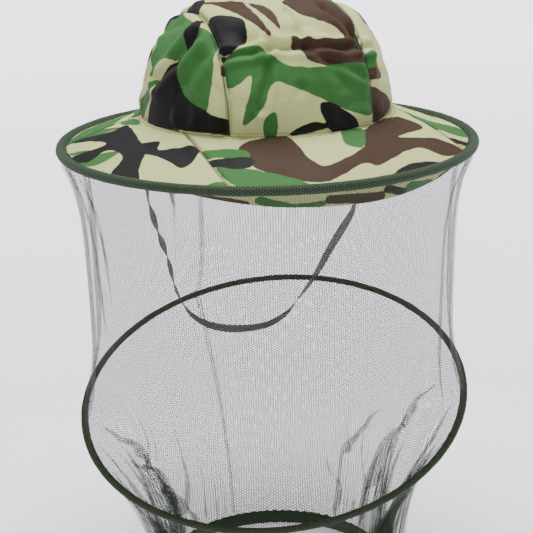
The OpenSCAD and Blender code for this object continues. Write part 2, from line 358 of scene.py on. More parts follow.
def make_fading_group():
    """Colour made uneven: broad patches and fine fibres."""
    n, start, end = new_group(
        "uneven colour",
        [("Color", "c", None), ("Place", "v", None), ("Amount", "f", 0.1), ("Patch", "f", 40.0)],
        [("Color", "c"), ("Value", "f")])
    broad = n.noise(start["Place"], start["Patch"], 3.0)
    fine = n.noise(start["Place"], 900.0, 2.0)
    both = n.math("ADD", n.math("MULTIPLY", broad, 0.65), n.math("MULTIPLY", fine, 0.35))
    shift = n.math("MULTIPLY", n.math("SUBTRACT", both, 0.5), start["Amount"])
    value = n.math("ADD", n.math("MULTIPLY", shift, 2.0), 1.0)
    hue = n.add("HueSaturation", {"Color": start["Color"], "Value": value})
    n.tree.links.new(hue.outputs[0], end["Color"])
    n.tree.links.new(both, end["Value"])
    return n.tree


WEAVE = make_weave_group()
HONEYCOMB = make_honeycomb_group()
FADING = make_fading_group()

# ---------------------------------------------------------------- materials


def new_material(name, roughness=0.7, shine=0.5, **settings):
    """A material with an empty Principled shader, and short calls for its nodes."""
    material = bpy.data.materials.new(name)
    material.use_nodes = True
    shader = material.node_tree.nodes["Principled BSDF"]
    shader.inputs["Roughness"].default_value = roughness
    shader.inputs["Specular IOR Level"].default_value = shine
    for key, value in settings.items():
        shader.inputs[key.replace("_", " ").title()].default_value = value
    return material, Nodes(material.node_tree), shader.inputs


def group(n, tree, **inputs):
    node = n.add("Group", node_tree=tree)
    for key, value in inputs.items():
        if isinstance(value, bpy.types.NodeSocket):
            n.tree.links.new(value, node.inputs[key])
        else:
            node.inputs[key].default_value = value
    return node.outputs


def relief(n, sockets, height, strength, distance):
    bumped = n.add("Bump", {"Height": height, "Strength": strength, "Distance": distance})
    n.tree.links.new(bumped.outputs[0], sockets["Normal"])


def rgb(red, green, blue):
    return (red, green, blue, 1.0)


KHAKI = rgb(0.42, 0.45, 0.19)
GREEN = rgb(0.03, 0.115, 0.025)
BROWN = rgb(0.036, 0.017, 0.008)
BLACK = rgb(0.003, 0.003, 0.003)
# Painted shade: the colour that darkens the cloth along the crown and brim seams, where their grooves
# lie
PAINTED_SEAM_SHADE = rgb(0.01, 0.012, 0.008)
# Painted shade for the gaps between the woven threads
WEAVE_GAP_SHADE = rgb(0.02, 0.02, 0.015)
NET_GREEN = rgb(0.026, 0.042, 0.022)
RIBBON_GREY = rgb(0.022, 0.026, 0.024)
# Painted shade in the grooves between the ribbon's ribs
RIBBON_GROOVE_SHADE = rgb(0.006, 0.007, 0.007)
ELASTIC_PALE = rgb(0.6, 0.59, 0.55)
# Painted shade in the grooves between the elastic's ribs
ELASTIC_GROOVE_SHADE = rgb(0.25, 0.24, 0.2)
NET_CELL = 0.0024
BINDING_CELL = 0.0026
CLOTH_SHINE = 0.15


def camouflage_cloth():
    """Printed plain weave. Each ink's attribute is the distance to its edge, in metres."""
    material, n, out = new_material("camouflage cloth", 0.75, CLOTH_SHINE, sheen_weight=0.03)
    place = n.object_place()
    uv = n.cloth_map()
    wobble = n.math("MULTIPLY", n.math("SUBTRACT", n.noise(place, 95.0, 2.0), 0.5), 0.0028)
    print_color = KHAKI
    for ink, color in (("brown", BROWN), ("green", GREEN), ("black", BLACK)):
        inside = n.ramp(n.math("ADD", n.stored(ink), wobble), -0.0003, 0.0003, 1.0, 0.0)
        print_color = n.mix(inside, print_color, color)
    # Painted shade: the cloth is darkened within about 1.6 mm of each seam, where its groove lies in
    # shade
    seam_shade = n.ramp(n.stored("seam"), 0.0002, 0.0016, 0.75, 0.0)
    print_color = n.mix(seam_shade, print_color, PAINTED_SEAM_SHADE)
    faded = group(n, FADING, Color=print_color, Place=place, Amount=0.10, Patch=28.0)
    threads = group(n, WEAVE, UV=uv, Thread=0.00042)
    # Painted shade: the gaps between the woven threads are darkened a little
    shaded = n.mix(n.math("MULTIPLY", threads["Gap"], 0.16), faded["Color"], WEAVE_GAP_SHADE)
    n.tree.links.new(shaded, out["Base Color"])
    n.tree.links.new(n.ramp(faded["Value"], 0.3, 0.7, 0.62, 0.8), out["Roughness"])
    relief(n, out, threads["Height"], 0.35, 0.00015)
    return material


def woven_cloth(name, color, thread, roughness=0.8, depth=0.5, amount=0.15):
    """A plain dyed cloth or tape with its own thread size."""
    material, n, out = new_material(name, roughness, CLOTH_SHINE, sheen_weight=0.03)
    place = n.object_place()
    uv = n.cloth_map()
    faded = group(n, FADING, Color=color, Place=place, Amount=amount, Patch=60.0)
    threads = group(n, WEAVE, UV=uv, Thread=thread)
    # Painted shade: the gaps between the threads are darkened towards 40 % of the cloth's colour
    dark = tuple(0.4 * c for c in color[:3]) + (1.0,)
    gaps = n.math("MULTIPLY", threads["Gap"], 0.5)
    n.tree.links.new(n.mix(gaps, faded["Color"], dark), out["Base Color"])
    relief(n, out, threads["Height"], depth, 0.0002)
    return material


def net_covered_cloth(name, color, net_color, cell):
    """Dark binding cloth with the net sewn over it: its threads show as a paler honeycomb."""
    material, n, out = new_material(name, 0.75, CLOTH_SHINE, sheen_weight=0.04)
    place = n.object_place()
    uv = n.cloth_map()
    faded = group(n, FADING, Color=color, Place=place, Amount=0.2, Patch=45.0)
    net = group(n, HONEYCOMB, UV=uv, Cell=cell, Level=-0.75)
    showing = n.math("MULTIPLY", net["Thread"], 0.5)
    n.tree.links.new(n.mix(showing, faded["Color"], net_color), out["Base Color"])
    relief(n, out, net["Height"], 0.6, 0.0004)
    return material


def net_cloth(name, color, cell, level):
    """Fine six-sided net, open between its threads. A higher level makes them thicker."""
    material, n, out = new_material(name, 0.6, CLOTH_SHINE, sheen_weight=0.05)
    place = n.object_place()
    uv = n.cloth_map()
    faded = group(n, FADING, Color=color, Place=place, Amount=0.15, Patch=20.0)
    net = group(n, HONEYCOMB, UV=uv, Cell=cell, Level=level)
    n.tree.links.new(faded["Color"], out["Base Color"])
    n.tree.links.new(net["Thread"], out["Alpha"])
    relief(n, out, net["Height"], 0.3, 0.0003)
    return material


def thread_material(name, color):
    """Sewing thread: a soft twist across each stitch."""
    material, n, out = new_material(name, 0.6)
    place = n.object_place()
    faded = group(n, FADING, Color=color, Place=place, Amount=0.2, Patch=300.0)
    n.tree.links.new(faded["Color"], out["Base Color"])
    relief(n, out, n.noise(place, 2500.0), 0.3, 0.0001)
    return material


def ribbon_material():
    """Thin ribbed ribbon that lets a little light through between its ribs."""
    material, n, out = new_material("strap ribbon", 0.5, CLOTH_SHINE, sheen_weight=0.05)
    place = n.object_place()
    uv = n.cloth_map()
    part = n.add("SeparateXYZ", {0: uv}).outputs
    rib = n.math("SINE", n.math("MULTIPLY", part[1], 2 * math.pi / 0.0011))
    faded = group(n, FADING, Color=RIBBON_GREY, Place=place, Amount=0.2, Patch=80.0)
    # Painted shade: the grooves between the ribs are darkened
    grooves = n.ramp(rib, -1.0, 1.0, 0.5, 0.0)
    n.tree.links.new(n.mix(grooves, faded["Color"], RIBBON_GROOVE_SHADE), out["Base Color"])
    n.tree.links.new(n.ramp(rib, -1.0, -0.3, 0.45, 0.85), out["Alpha"])
    relief(n, out, rib, 0.4, 0.0002)
    return material


def spring_wire_material():
    """Drawn spring steel with faint drawing lines and a few dull patches."""
    material, n, out = new_material("spring wire", 0.35, metallic=1.0)
    place = n.object_place()
    faded = group(n, FADING, Color=rgb(0.42, 0.43, 0.45), Place=place, Amount=0.15, Patch=70.0)
    n.tree.links.new(faded["Color"], out["Base Color"])
    n.tree.links.new(n.ramp(faded["Value"], 0.3, 0.7, 0.25, 0.5), out["Roughness"])
    relief(n, out, n.noise(place, 1500.0), 0.15, 0.0001)
    return material


def crimped_sleeve_material():
    """Zinc-plated sleeve with the marks of the crimping tool."""
    material, n, out = new_material("crimped sleeve", 0.4, metallic=1.0)
    place = n.object_place()
    marks = n.add("TexWave", {"Vector": place, "Scale": 90.0, "Distortion": 1.0}).outputs["Fac"]
    faded = group(n, FADING, Color=rgb(0.5, 0.5, 0.5), Place=place, Amount=0.1, Patch=120.0)
    n.tree.links.new(faded["Color"], out["Base Color"])
    n.tree.links.new(n.ramp(marks, 0.0, 1.0, 0.3, 0.55), out["Roughness"])
    relief(n, out, marks, 0.4, 0.0003)
    return material


def tube_material():
    """Extruded plastic tube, matt, with faint scuffs."""
    material, n, out = new_material("plastic tube", 0.5)
    place = n.object_place()
    faded = group(n, FADING, Color=rgb(0.02, 0.02, 0.02), Place=place, Amount=0.2, Patch=90.0)
    n.tree.links.new(faded["Color"], out["Base Color"])
    n.tree.links.new(n.ramp(faded["Value"], 0.35, 0.65, 0.4, 0.6), out["Roughness"])
    relief(n, out, n.noise(place, 700.0), 0.1, 0.0001)
    return material


def elastic_material():
    """Woven elastic: ribs on Object coordinates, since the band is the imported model's own."""
    material, n, out = new_material("elastic", 0.75)
    place = n.object_place()
    part = n.add("SeparateXYZ", {0: place}).outputs
    rib = n.math("SINE", n.math("MULTIPLY", part[2], 2 * math.pi / 0.0009))
    faded = group(n, FADING, Color=ELASTIC_PALE, Place=place, Amount=0.1, Patch=90.0)
    # Painted shade: the grooves between the ribs are darkened
    grooves = n.ramp(rib, -1.0, 1.0, 0.35, 0.0)
    n.tree.links.new(n.mix(grooves, faded["Color"], ELASTIC_GROOVE_SHADE), out["Base Color"])
    relief(n, out, rib, 0.5, 0.0002)
    return material


CAMOUFLAGE = camouflage_cloth()
BAND_CLOTH = woven_cloth("sweatband cloth", rgb(0.02, 0.035, 0.022), 0.0005)
TAPE = woven_cloth("seam tape", rgb(0.015, 0.025, 0.018), 0.0006)
TAB_CLOTH = woven_cloth("strap tab cloth", rgb(0.02, 0.03, 0.022), 0.0005)
HEM_CLOTH = woven_cloth("hem cloth", rgb(0.02, 0.05, 0.025), 0.0005)
RIM_CLOTH = net_covered_cloth(
    "brim binding cloth", rgb(0.010, 0.022, 0.010), rgb(0.08, 0.115, 0.07), BINDING_CELL)
HOOP_CLOTH = net_covered_cloth(
    "hoop binding cloth", rgb(0.014, 0.022, 0.010), rgb(0.09, 0.12, 0.065), BINDING_CELL)
NET = net_cloth("veil net", NET_GREEN, NET_CELL, -0.88)
NET_TAPE = net_cloth("doubled net", NET_GREEN, NET_CELL, -0.8)
DARK_THREAD = thread_material("dark thread", rgb(0.012, 0.02, 0.012))
RIBBON = ribbon_material()
WIRE = spring_wire_material()
SLEEVE = crimped_sleeve_material()
TUBE = tube_material()
ELASTIC = elastic_material()

# ---------------------------------------------------------------- camera

CAMERA_PLACE = Vector((-0.556, -1.2488, 0.2745))
CAMERA_HEADING = 23.86
CAMERA_PITCH = 17.27
CAMERA_ROLL = 1.324
CAMERA_LENS = 102


def make_camera():
    data = bpy.data.cameras.new("camera")
    data.lens = CAMERA_LENS
    camera = bpy.data.objects.new("camera", data)
    bpy.context.scene.collection.objects.link(camera)
    camera.matrix_world = (
        Matrix.Translation(CAMERA_PLACE)
        @ Matrix.Rotation(math.radians(-CAMERA_HEADING), 4, "Z")
        @ Matrix.Rotation(math.radians(90 - CAMERA_PITCH), 4, "X")
        @ Matrix.Rotation(math.radians(-CAMERA_ROLL), 4, "Z")
    )
    bpy.context.scene.camera = camera


# ---------------------------------------------------------------- chin strap

# Each point's place in millimetres, then the ribbon's twist in degrees
STRAP_ROUTE = [
    (-105, 30, -8, 0), (-107, 30, -30, 0), (-109, 29, -54, 0), (-109, 28, -78, 10),
    (-104, 27, -98, 50), (-98, 25, -120, -20), (-92, 24, -144, 40), (-87, 22, -168, 0),
    (-77, 21, -189, 20), (-60, 20, -204, 30), (-38, 18, -212, 30), (-15, 17, -215, 20),
    (6, 17, -214, 10), (24, 17, -206, -10), (40, 18, -191, -40), (58, 20, -172, -60),
    (74, 23, -151, -75), (90, 25, -131, -80), (102, 27, -116, -60), (108, 29, -96, -30),
    (109, 30, -74, -10), (108, 30, -50, 0), (107, 30, -28, 0), (105, 30, -8, 0),
]
STRAP_W = 10 * MM
STRAP_T = 0.6 * MM


def smooth_route(route, steps):
    """A smooth curve through the route's points."""
    points = np.array(route, float)
    last = len(points) - 1
    curve = []
    for i in range(last):
        p0, p1 = points[max(i - 1, 0)], points[i]
        p2, p3 = points[i + 1], points[min(i + 2, last)]
        curve.extend(curve_stretch(p0, p1, p2, p3, steps))
    curve.append(points[last])
    return np.array(curve)


def ribbon_section(width, thickness):
    """Half of a ribbon's outline with its thicker woven edges, then back underneath."""
    top = [(-1.0, 0.3), (-0.96, 1.0), (-0.84, 1.0), (-0.78, 0.6), (0.0, 0.6),
           (0.78, 0.6), (0.84, 1.0), (0.96, 1.0), (1.0, 0.3)]
    outline = top + [(x, -y) for x, y in reversed(top)]
    return [(x * width / 2, y * thickness / 2) for x, y in outline]


def make_chin_strap():
    route = smooth_route(STRAP_ROUTE, 6)
    places, twists = route[:, :3] * MM, np.radians(route[:, 3])
    along = np.gradient(places, axis=0)
    along /= np.linalg.norm(along, axis=1)[:, None]
    width = np.array([0.0, 1.0, 0.0]) - along * along[:, 1:2]
    width /= np.linalg.norm(width, axis=1)[:, None]
    flat = np.cross(along, width)
    across = width * np.cos(twists)[:, None] + flat * np.sin(twists)[:, None]
    through = flat * np.cos(twists)[:, None] - width * np.sin(twists)[:, None]
    section = ribbon_section(STRAP_W, STRAP_T)
    points = np.stack([places + across * x + through * y for x, y in section], 1)
    wide = np.linspace(0, 2 * STRAP_W, len(section) + 1)
    run = run_lengths(places[:, None], 0)[:, 0]
    uv = np.stack(np.broadcast_arrays(wide[None, :], run[:, None]), -1)
    strap = sheet_object("chin_strap_ribbon", points, uv, places.mean(0), closed=True)
    cap_ends(strap)
    paint(strap, RIBBON)
    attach(strap, "root")
    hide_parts("chin_strap")


def cap_ends(obj):
    """Closes the open ends of a tube and turns all its faces outwards."""
    mesh = bmesh.new()
    mesh.from_mesh(obj.data)
    bmesh.ops.holes_fill(mesh, edges=[e for e in mesh.edges if e.is_boundary])
    bmesh.ops.recalc_face_normals(mesh, faces=mesh.faces)
    mesh.to_mesh(obj.data)
    mesh.free()


make_camera()
make_chin_strap()

# ---------------------------------------------------------------- stitching


def stitch_shape(length, radius):
    """One stitch: a low-sided drop of thread, pulled in at both ends. Returns its mesh data."""
    deselect()
    bpy.ops.mesh.primitive_uv_sphere_add(segments=5, ring_count=4, radius=1.0)
    obj = bpy.context.active_object
    bpy.ops.transform.resize(value=(radius, radius, length / 2))
    bpy.ops.object.transform_apply(location=False, rotation=False, scale=True)
    vertices = np.array([v.co for v in obj.data.vertices])
    faces = [tuple(p.vertices) for p in obj.data.polygons]
    bpy.data.objects.remove(obj)
    return vertices, faces


def stitch_line(path, normals, pitch, length, radius):
    """Stitches set end to end along a path. Returns their vertices and faces."""
    path, normals = np.asarray(path), np.asarray(normals)
    run = run_lengths(path[:, None], 0)[:, 0]
    count = max(1, int(run[-1] / pitch))
    shape, shape_faces = stitch_shape(length, radius)
    vertices, faces = [], []
    for k in range(count):
        middle = (k + 0.5) * run[-1] / count
        ends = [[np.interp(middle + d, run, path[:, c]) for c in range(3)]
                for d in (-length / 2, length / 2)]
        place, along = np.mean(ends, axis=0), np.subtract(ends[1], ends[0])
        up = np.array([np.interp(middle, run, normals[:, c]) for c in range(3)])
        along /= np.linalg.norm(along)
        side = np.cross(along, up)
        side /= np.linalg.norm(side)
        lift = np.cross(side, along)
        turn = np.stack([side, lift, along])
        start = k * len(shape)
        vertices.append(place + shape @ turn)
        faces.extend(tuple(start + i for i in face) for face in shape_faces)
    return np.concatenate(vertices), faces


def stitching(name, lines, body, pitch=3.2 * MM, length=2.7 * MM, radius=0.28 * MM):
    """All the stitches of several lines as one piece."""
    vertices, faces = [], []
    for path, normals in lines:
        more, more_faces = stitch_line(path, normals, pitch, length, radius)
        start = sum(map(len, vertices))
        vertices.append(more)
        faces.extend(tuple(start + i for i in face) for face in more_faces)
    obj = mesh_object(name, np.concatenate(vertices), faces)
    obj.data.polygons.foreach_set("use_smooth", [True] * len(faces))
    paint(obj, DARK_THREAD)
    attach(obj, body)


# ---------------------------------------------------------------- camouflage print

# Patches of ink on each panel of the crown: closed outlines of azimuths and heights above
# the crown's seam in millimetres.
CROWN_PATCHES = {
    "left": {
        "green": [
            [(-120, 90), (-95, 90), (-70, 85), (-70, 65), (-85, 55), (-90, 40), (-105, 65)],
            [(-65, 85), (-50, 70), (-50, 20), (-60, 25), (-70, 45), (-70, 70)],
            [(-85, 40), (-90, 20), (-100, 0), (-115, 0), (-100, 20)],
            [(-65, 0), (-75, 5), (-85, 0)],
            [(-130, 80), (-120, 60), (-130, 40), (-145, 35), (-145, 65)],
        ],
        "brown": [
            [(-45, 60), (-40, 55), (-45, 50)],
            [(-110, 60), (-110, 15), (-120, 15), (-120, 55)],
        ],
        "black": [
            [(-75, 90), (-65, 85), (-70, 60), (-65, 35), (-50, 20), (-35, 10), (-35, 0), (-85, 0),
             (-90, 10), (-80, 50), (-70, 65), (-75, 80)],
            [(-125, 15), (-150, 15), (-140, 0), (-125, 0)],
        ],
    },
    "centre": {
        "green": [
            [(-45, 60), (-30, 75), (-15, 60), (0, 55), (30, 50), (30, 10), (15, 15), (-5, 35),
             (-20, 45), (-25, 25), (-35, 10), (-30, 50), (-40, 40)],
            [(-20, 20), (-20, 0), (-25, 0), (-25, 15)],
            [(60, 100), (75, 95), (55, 85), (45, 90)],
        ],
        "brown": [
            [(0, 105), (0, 95), (20, 85), (25, 75), (15, 70), (40, 60), (50, 75), (45, 90), (60, 100)],
            [(-10, 80), (5, 75), (45, 65), (30, 50), (5, 55), (-5, 65)],
            [(-100, 100), (-60, 100), (-20, 80), (-50, 105), (-15, 85), (-20, 100), (-60, 105)],
        ],
        "black": [
            [(-120, 90), (-120, 100), (-95, 100), (-90, 90)],
            [(-65, 90), (-45, 95), (-35, 85), (-40, 70), (-50, 70)],
            [(0, 25), (10, 20), (20, 0), (5, 0)],
            [(-15, 0), (-5, 10), (5, 5)],
        ],
    },
    "right": {
        "green": [
            [(40, 60), (45, 45), (30, 50)],
        ],
        "brown": [
            [(30, 50), (45, 45), (45, 35), (25, 40)],
            [(25, 35), (45, 20), (50, 5), (25, 0), (30, 15)],
        ],
        "black": [],
    },
}

# The same on the brim: azimuths and radii in millimetres.
BRIM_PATCHES = {
    "left": {
        "green": [
            [(-115, 175), (-115, 165), (-100, 135), (-105, 160)],
            [(-100, 185), (-90, 165), (-95, 180)],
            [(-90, 185), (-80, 155), (-80, 180)],
            [(-110, 135), (-105, 120), (-95, 120), (-100, 130)],
            [(-40, 190), (-40, 180), (-35, 175), (-30, 185)],
        ],
        "brown": [
            [(-120, 160), (-115, 145), (-110, 155)],
        ],
        "black": [
            [(-110, 180), (-110, 170), (-100, 145), (-100, 130), (-80, 135), (-70, 145), (-65, 165),
             (-60, 185), (-70, 185), (-75, 160), (-85, 160), (-85, 180), (-95, 185), (-90, 155)],
            [(-80, 150), (-70, 130), (-65, 140), (-50, 130), (-50, 160), (-60, 150)],
        ],
    },
    "front": {
        "green": [
            [(-50, 140), (-35, 130), (-30, 140), (-45, 145)],
            [(-40, 155), (-30, 155), (-15, 175), (-15, 185), (-30, 185)],
            [(10, 115), (20, 120), (10, 145), (5, 135)],
        ],
        "brown": [
            [(-15, 115), (-10, 150), (-5, 160), (10, 145), (15, 125), (50, 120), (50, 145), (30, 140),
             (45, 160), (45, 185), (35, 180), (30, 160), (10, 170), (5, 165), (-10, 180), (-25, 160),
             (-35, 130), (-25, 115)],
        ],
        "black": [
            [(-45, 150), (-30, 140), (-30, 155), (-40, 155)],
            [(10, 185), (20, 175), (30, 185)],
        ],
    },
    "right": {
        "green": [
            [(65, 115), (75, 180), (60, 180), (50, 120)],
        ],
        "brown": [],
        "black": [
            [(50, 165), (55, 185), (50, 185)],
        ],
    },
}
INKS = ("brown", "green", "black")
# Cloth farther than this from a patch counts as bare, and a patch this far away is on
# the other side of the object
FAR_FROM_INK = 0.05
FAR_SIDE = 0.06
NO_INK = {ink: [] for ink in INKS}


def smooth_outline(corners, steps=6):
    """A smooth closed curve through an outline's corners."""
    curve = []
    for i in range(len(corners)):
        p0, p1, p2, p3 = (corners[(i + k) % len(corners)] for k in (-1, 0, 1, 2))
        curve.extend(curve_stretch(p0, p1, p2, p3, steps))
    return np.array(curve)


def patch_distance(points, corners):
    """Distance from each point to a patch's edge, below zero inside it, measured in the
    plane that fits the patch best."""
    outline = smooth_outline(np.array(corners))
    middle = outline.mean(0)
    axes = np.linalg.svd(outline - middle)[2]
    spots = (points - middle) @ axes.T
    edge = (outline - middle) @ axes[:2].T
    best = np.full(len(points), FAR_FROM_INK)
    inside = np.zeros(len(points), bool)
    x, y = spots[:, 0], spots[:, 1]
    for a, b in zip(edge, np.roll(edge, -1, axis=0)):
        best = np.minimum(best, gap_to_line(x, y, a, b))
        if a[1] != b[1]:
            crosses = (y < a[1]) != (y < b[1])
            inside ^= crosses & (x < a[0] + (y - a[1]) * (b[0] - a[0]) / (b[1] - a[1]))
    distance = np.where(inside, -best, best)
    return np.where(np.abs(spots[:, 2]) < FAR_SIDE, distance, FAR_FROM_INK)


def stroke_distance(points, stroke):
    """Distance from each point to a brush stroke, below zero inside it."""
    best = np.full(len(points), FAR_FROM_INK)
    for (a, ra), (b, rb) in zip(stroke, stroke[1:]):
        run = b - a
        share = np.clip((points - a) @ run / max(run @ run, 1e-12), 0, 1)
        gap = np.linalg.norm(points - a - share[:, None] * run, axis=1) - (ra + share * (rb - ra))
        best = np.minimum(best, gap)
    return best


def placed(stroke, surface):
    """A stroke's own numbers as points on a surface, close enough to follow its curve."""
    numbers = np.array(stroke, float)
    steps = np.arange(0, len(numbers) - 1 + 1e-9, 0.2)
    fine = np.stack([np.interp(steps, np.arange(len(numbers)), numbers[:, c]) for c in range(3)], 1)
    return [(surface(a, v * MM), w * MM) for a, v, w in fine]


def store(obj, name, values):
    """Keeps one number for each of a mesh's points, for its material to read."""
    attribute = obj.data.attributes.new(name, "FLOAT", "POINT")
    attribute.data.foreach_set("value", np.asarray(values, np.float32).ravel())


def print_cloth(obj, surface, patches=None, strokes=None):
    """Stores the distance to the nearest edge of each ink on the cloth's points."""
    points = np.array([v.co for v in obj.data.vertices])
    for ink in INKS:
        nearest = np.full(len(points), FAR_FROM_INK)
        for patch in (patches or NO_INK)[ink]:
            corners = [surface(a, v * MM) for a, v in patch]
            nearest = np.minimum(nearest, patch_distance(points, corners))
        for stroke in (strokes or NO_INK)[ink]:
            nearest = np.minimum(nearest, stroke_distance(points, placed(stroke, surface)))
        store(obj, ink, nearest)


def scattered_strokes(seed, azimuths, values, counts):
    """Wandering strokes for a stretch of cloth, in the style of the others."""
    draw = random.Random(seed)
    made = {ink: [] for ink in INKS}
    for ink, count in zip(INKS, counts):
        for _ in range(count):
            a, v = draw.uniform(*azimuths), draw.uniform(*values)
            heading = draw.uniform(-1, 1)
            width = draw.uniform(5, 11)
            stroke = []
            for step in range(draw.randint(3, 5)):
                swell = 0.6 if step == 0 else draw.uniform(0.7, 1.2)
                stroke.append((a, min(max(v, values[0]), values[1]), width * swell))
                a += draw.uniform(7, 12)
                v += heading * draw.uniform(4, 14)
                heading = min(max(heading + draw.uniform(-0.9, 0.9), -1.4), 1.4)
            made[ink].append(stroke)
    return made


# ---------------------------------------------------------------- crown


def on_dome(directions):
    """Points of the crown's outside in these directions from its centre."""
    flat = np.hypot(directions[..., 0], directions[..., 1]) / CROWN_R
    up = np.abs(directions[..., 2]) / CROWN_H
    scale = (flat ** CROWN_SQUARE + up ** CROWN_SQUARE) ** (-1 / CROWN_SQUARE)
    return directions * scale[..., None]


def dome_normals(points):
    flat = np.hypot(points[..., 0], points[..., 1])
    power = CROWN_SQUARE - 1
    side = (flat / CROWN_R) ** power / CROWN_R / np.maximum(flat, 1e-6)
    up = (np.maximum(points[..., 2], 0) / CROWN_H) ** power / CROWN_H
    normals = np.stack([points[..., 0] * side, points[..., 1] * side, up], -1)
    return normals / np.linalg.norm(normals, axis=-1)[..., None]


def crown_place(azimuth, z):
    """A point of the crown's outside at an azimuth and a height."""
    r = CROWN_R * (1 - (min(z, CROWN_H * 0.999) / CROWN_H) ** CROWN_SQUARE) ** (1 / CROWN_SQUARE)
    x, y = plan(r, azimuth)
    return np.array([x, y, z])


def seam_arc(side, t):
    """The seam of the centre strip over the crown, t from 0 at the front to 1 at the back.
    In the crown's own turned frame, where the strip runs straight along Y."""
    angle = np.pi * t
    x = side * STRIP_W / 2
    low, high = np.zeros_like(t), np.full_like(t, CROWN_R)
    for _ in range(40):
        reach = (low + high) / 2
        flat = np.hypot(x, reach * np.cos(angle)) / CROWN_R
        inside = flat ** CROWN_SQUARE + (reach * np.sin(angle) / CROWN_H) ** CROWN_SQUARE < 1
        low, high = np.where(inside, reach, low), np.where(inside, high, reach)
    return np.stack([np.full_like(t, x), -reach * np.cos(angle), reach * np.sin(angle)], -1)


def base_arc(side, t):
    """The bottom edge of a side panel, in the crown's turned frame."""
    corner = math.degrees(math.asin(STRIP_W / 2 / CROWN_R))
    azimuth = side * (corner + (180 - 2 * corner) * t)
    xy = plan(CROWN_R, azimuth)
    return np.concatenate([xy, np.zeros(len(t))[:, None]], -1)


# Creases pressed into the crown: points as azimuth and height, then depth and half width.
CROWN_CREASES = [
    ([(-22, 78), (-23, 50), (-26, 24)], 2.6, 3.0),
    ([(-45, 65), (-20, 73), (10, 70), (42, 62)], 3.0, 3.2),
    ([(-7, 98), (-5, 84), (-3, 73)], 2.0, 2.4),
    ([(-2, 68), (14, 56), (27, 42)], 1.6, 3.2),
    ([(-66, 78), (-75, 58), (-84, 40)], 3.2, 5.0),
    ([(-58, 62), (-64, 40), (-62, 14)], 1.8, 5.0),
    ([(30, 96), (36, 74), (33, 50)], 2.4, 4.5),
    ([(8, 60), (14, 36), (10, 12)], 1.2, 5.0),
    ([(-8, 40), (-10, 22), (-9, 4)], 1.3, 3.5),
    ([(-105, 60), (-112, 34), (-108, 10)], 2.2, 5.0),
    ([(75, 70), (82, 44), (78, 16)], 2.4, 6.0),
    ([(110, 66), (118, 40), (112, 14)], 2.0, 6.0),
    ([(150, 78), (160, 52), (156, 20)], 2.4, 6.0),
    ([(-150, 74), (-158, 48), (-154, 18)], 2.2, 6.0),
    ([(-175, 88), (178, 60), (176, 30)], 2.0, 6.0),
]


def crown_relief(points):
    """How far the worn cloth stands out from the plain dome, in metres."""
    own = turned(points, -CROWN_TURN)
    seam = np.abs(np.abs(own[..., 0]) - STRIP_W / 2)
    z = points[..., 2]
    out = 1.8 * MM * ripple(points, 0.055, 1) + 0.8 * MM * ripple(points, 0.022, 2)
    out = out + 0.25 * MM * ripple(points * np.array([1, 1, 0.35]), 0.006, 3)
    out = out - 2.4 * MM * np.clip(0.35 - np.abs(ripple(points, 0.06, 4)), 0, 1) ** 2 / 0.12
    out = out - 0.6 * MM * np.clip(0.25 - np.abs(ripple(points, 0.03, 7)), 0, 1) ** 2 / 0.06
    out = out + 1.8 * MM * bump(seam - 9 * MM, 7 * MM) - 3.2 * MM * bump(seam, 2.4 * MM)
    flat = points.reshape(-1, 3)
    for line, depth, width in CROWN_CREASES:
        stroke = placed([(a, h, 0) for a, h in line], crown_place)
        gap = stroke_distance(flat, stroke).reshape(z.shape)
        out = out - 1.4 * depth * MM * bump(gap, width * MM)
        out = out + 0.7 * depth * MM * bump(gap - 2.4 * width * MM, width * MM)
    out = out - 1.0 * MM * bump(z, 4 * MM) + 1.2 * MM * bump(z - 12 * MM, 9 * MM)
    deepest = 0.7 * MM + 7 * MM * np.clip((z - 30 * MM) / (22 * MM), 0, 1)
    # The sweatband inside stops the cloth from sinking near the head opening
    out = np.maximum(out, -deepest)
    settled = np.clip(z / (30 * MM), 0, 1)
    inwards = out * (0.35 + 0.65 * settled)
    outwards = out * (0.2 + 0.8 * np.clip(z / (8 * MM), 0, 1))
    return np.where(out < 0, inwards, outwards)


def crown_cloth_at(points, depth=0.0):
    """Points of the plain dome moved out to the worn cloth, or a depth inside it."""
    move = crown_relief(points) - depth
    return points + dome_normals(points) * move[..., None]


def crown_panel(name, first_edge, second_edge, rows, cols, patches, strokes, replaced):
    t = np.linspace(0, 1, rows)
    w = np.linspace(0, 1, cols)[None, :, None]
    directions = (1 - w) * first_edge(t)[:, None] + w * second_edge(t)[:, None]
    dome = turned(on_dome(directions), CROWN_TURN)
    points = crown_cloth_at(dome)
    panel = sheet_object(name, points, cloth_uv(points), (0, 0, 0))
    weld(panel)
    print_cloth(panel, crown_place, patches, strokes)
    own = turned(np.array([v.co for v in panel.data.vertices]), -CROWN_TURN)
    store(panel, "seam", np.abs(np.abs(own[:, 0]) - STRIP_W / 2))
    apply_modifier(panel, "SOLIDIFY", thickness=CLOTH_T, offset=-1)
    paint(panel, CAMOUFLAGE)
    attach(panel, "root")
    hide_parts(replaced)
    return panel


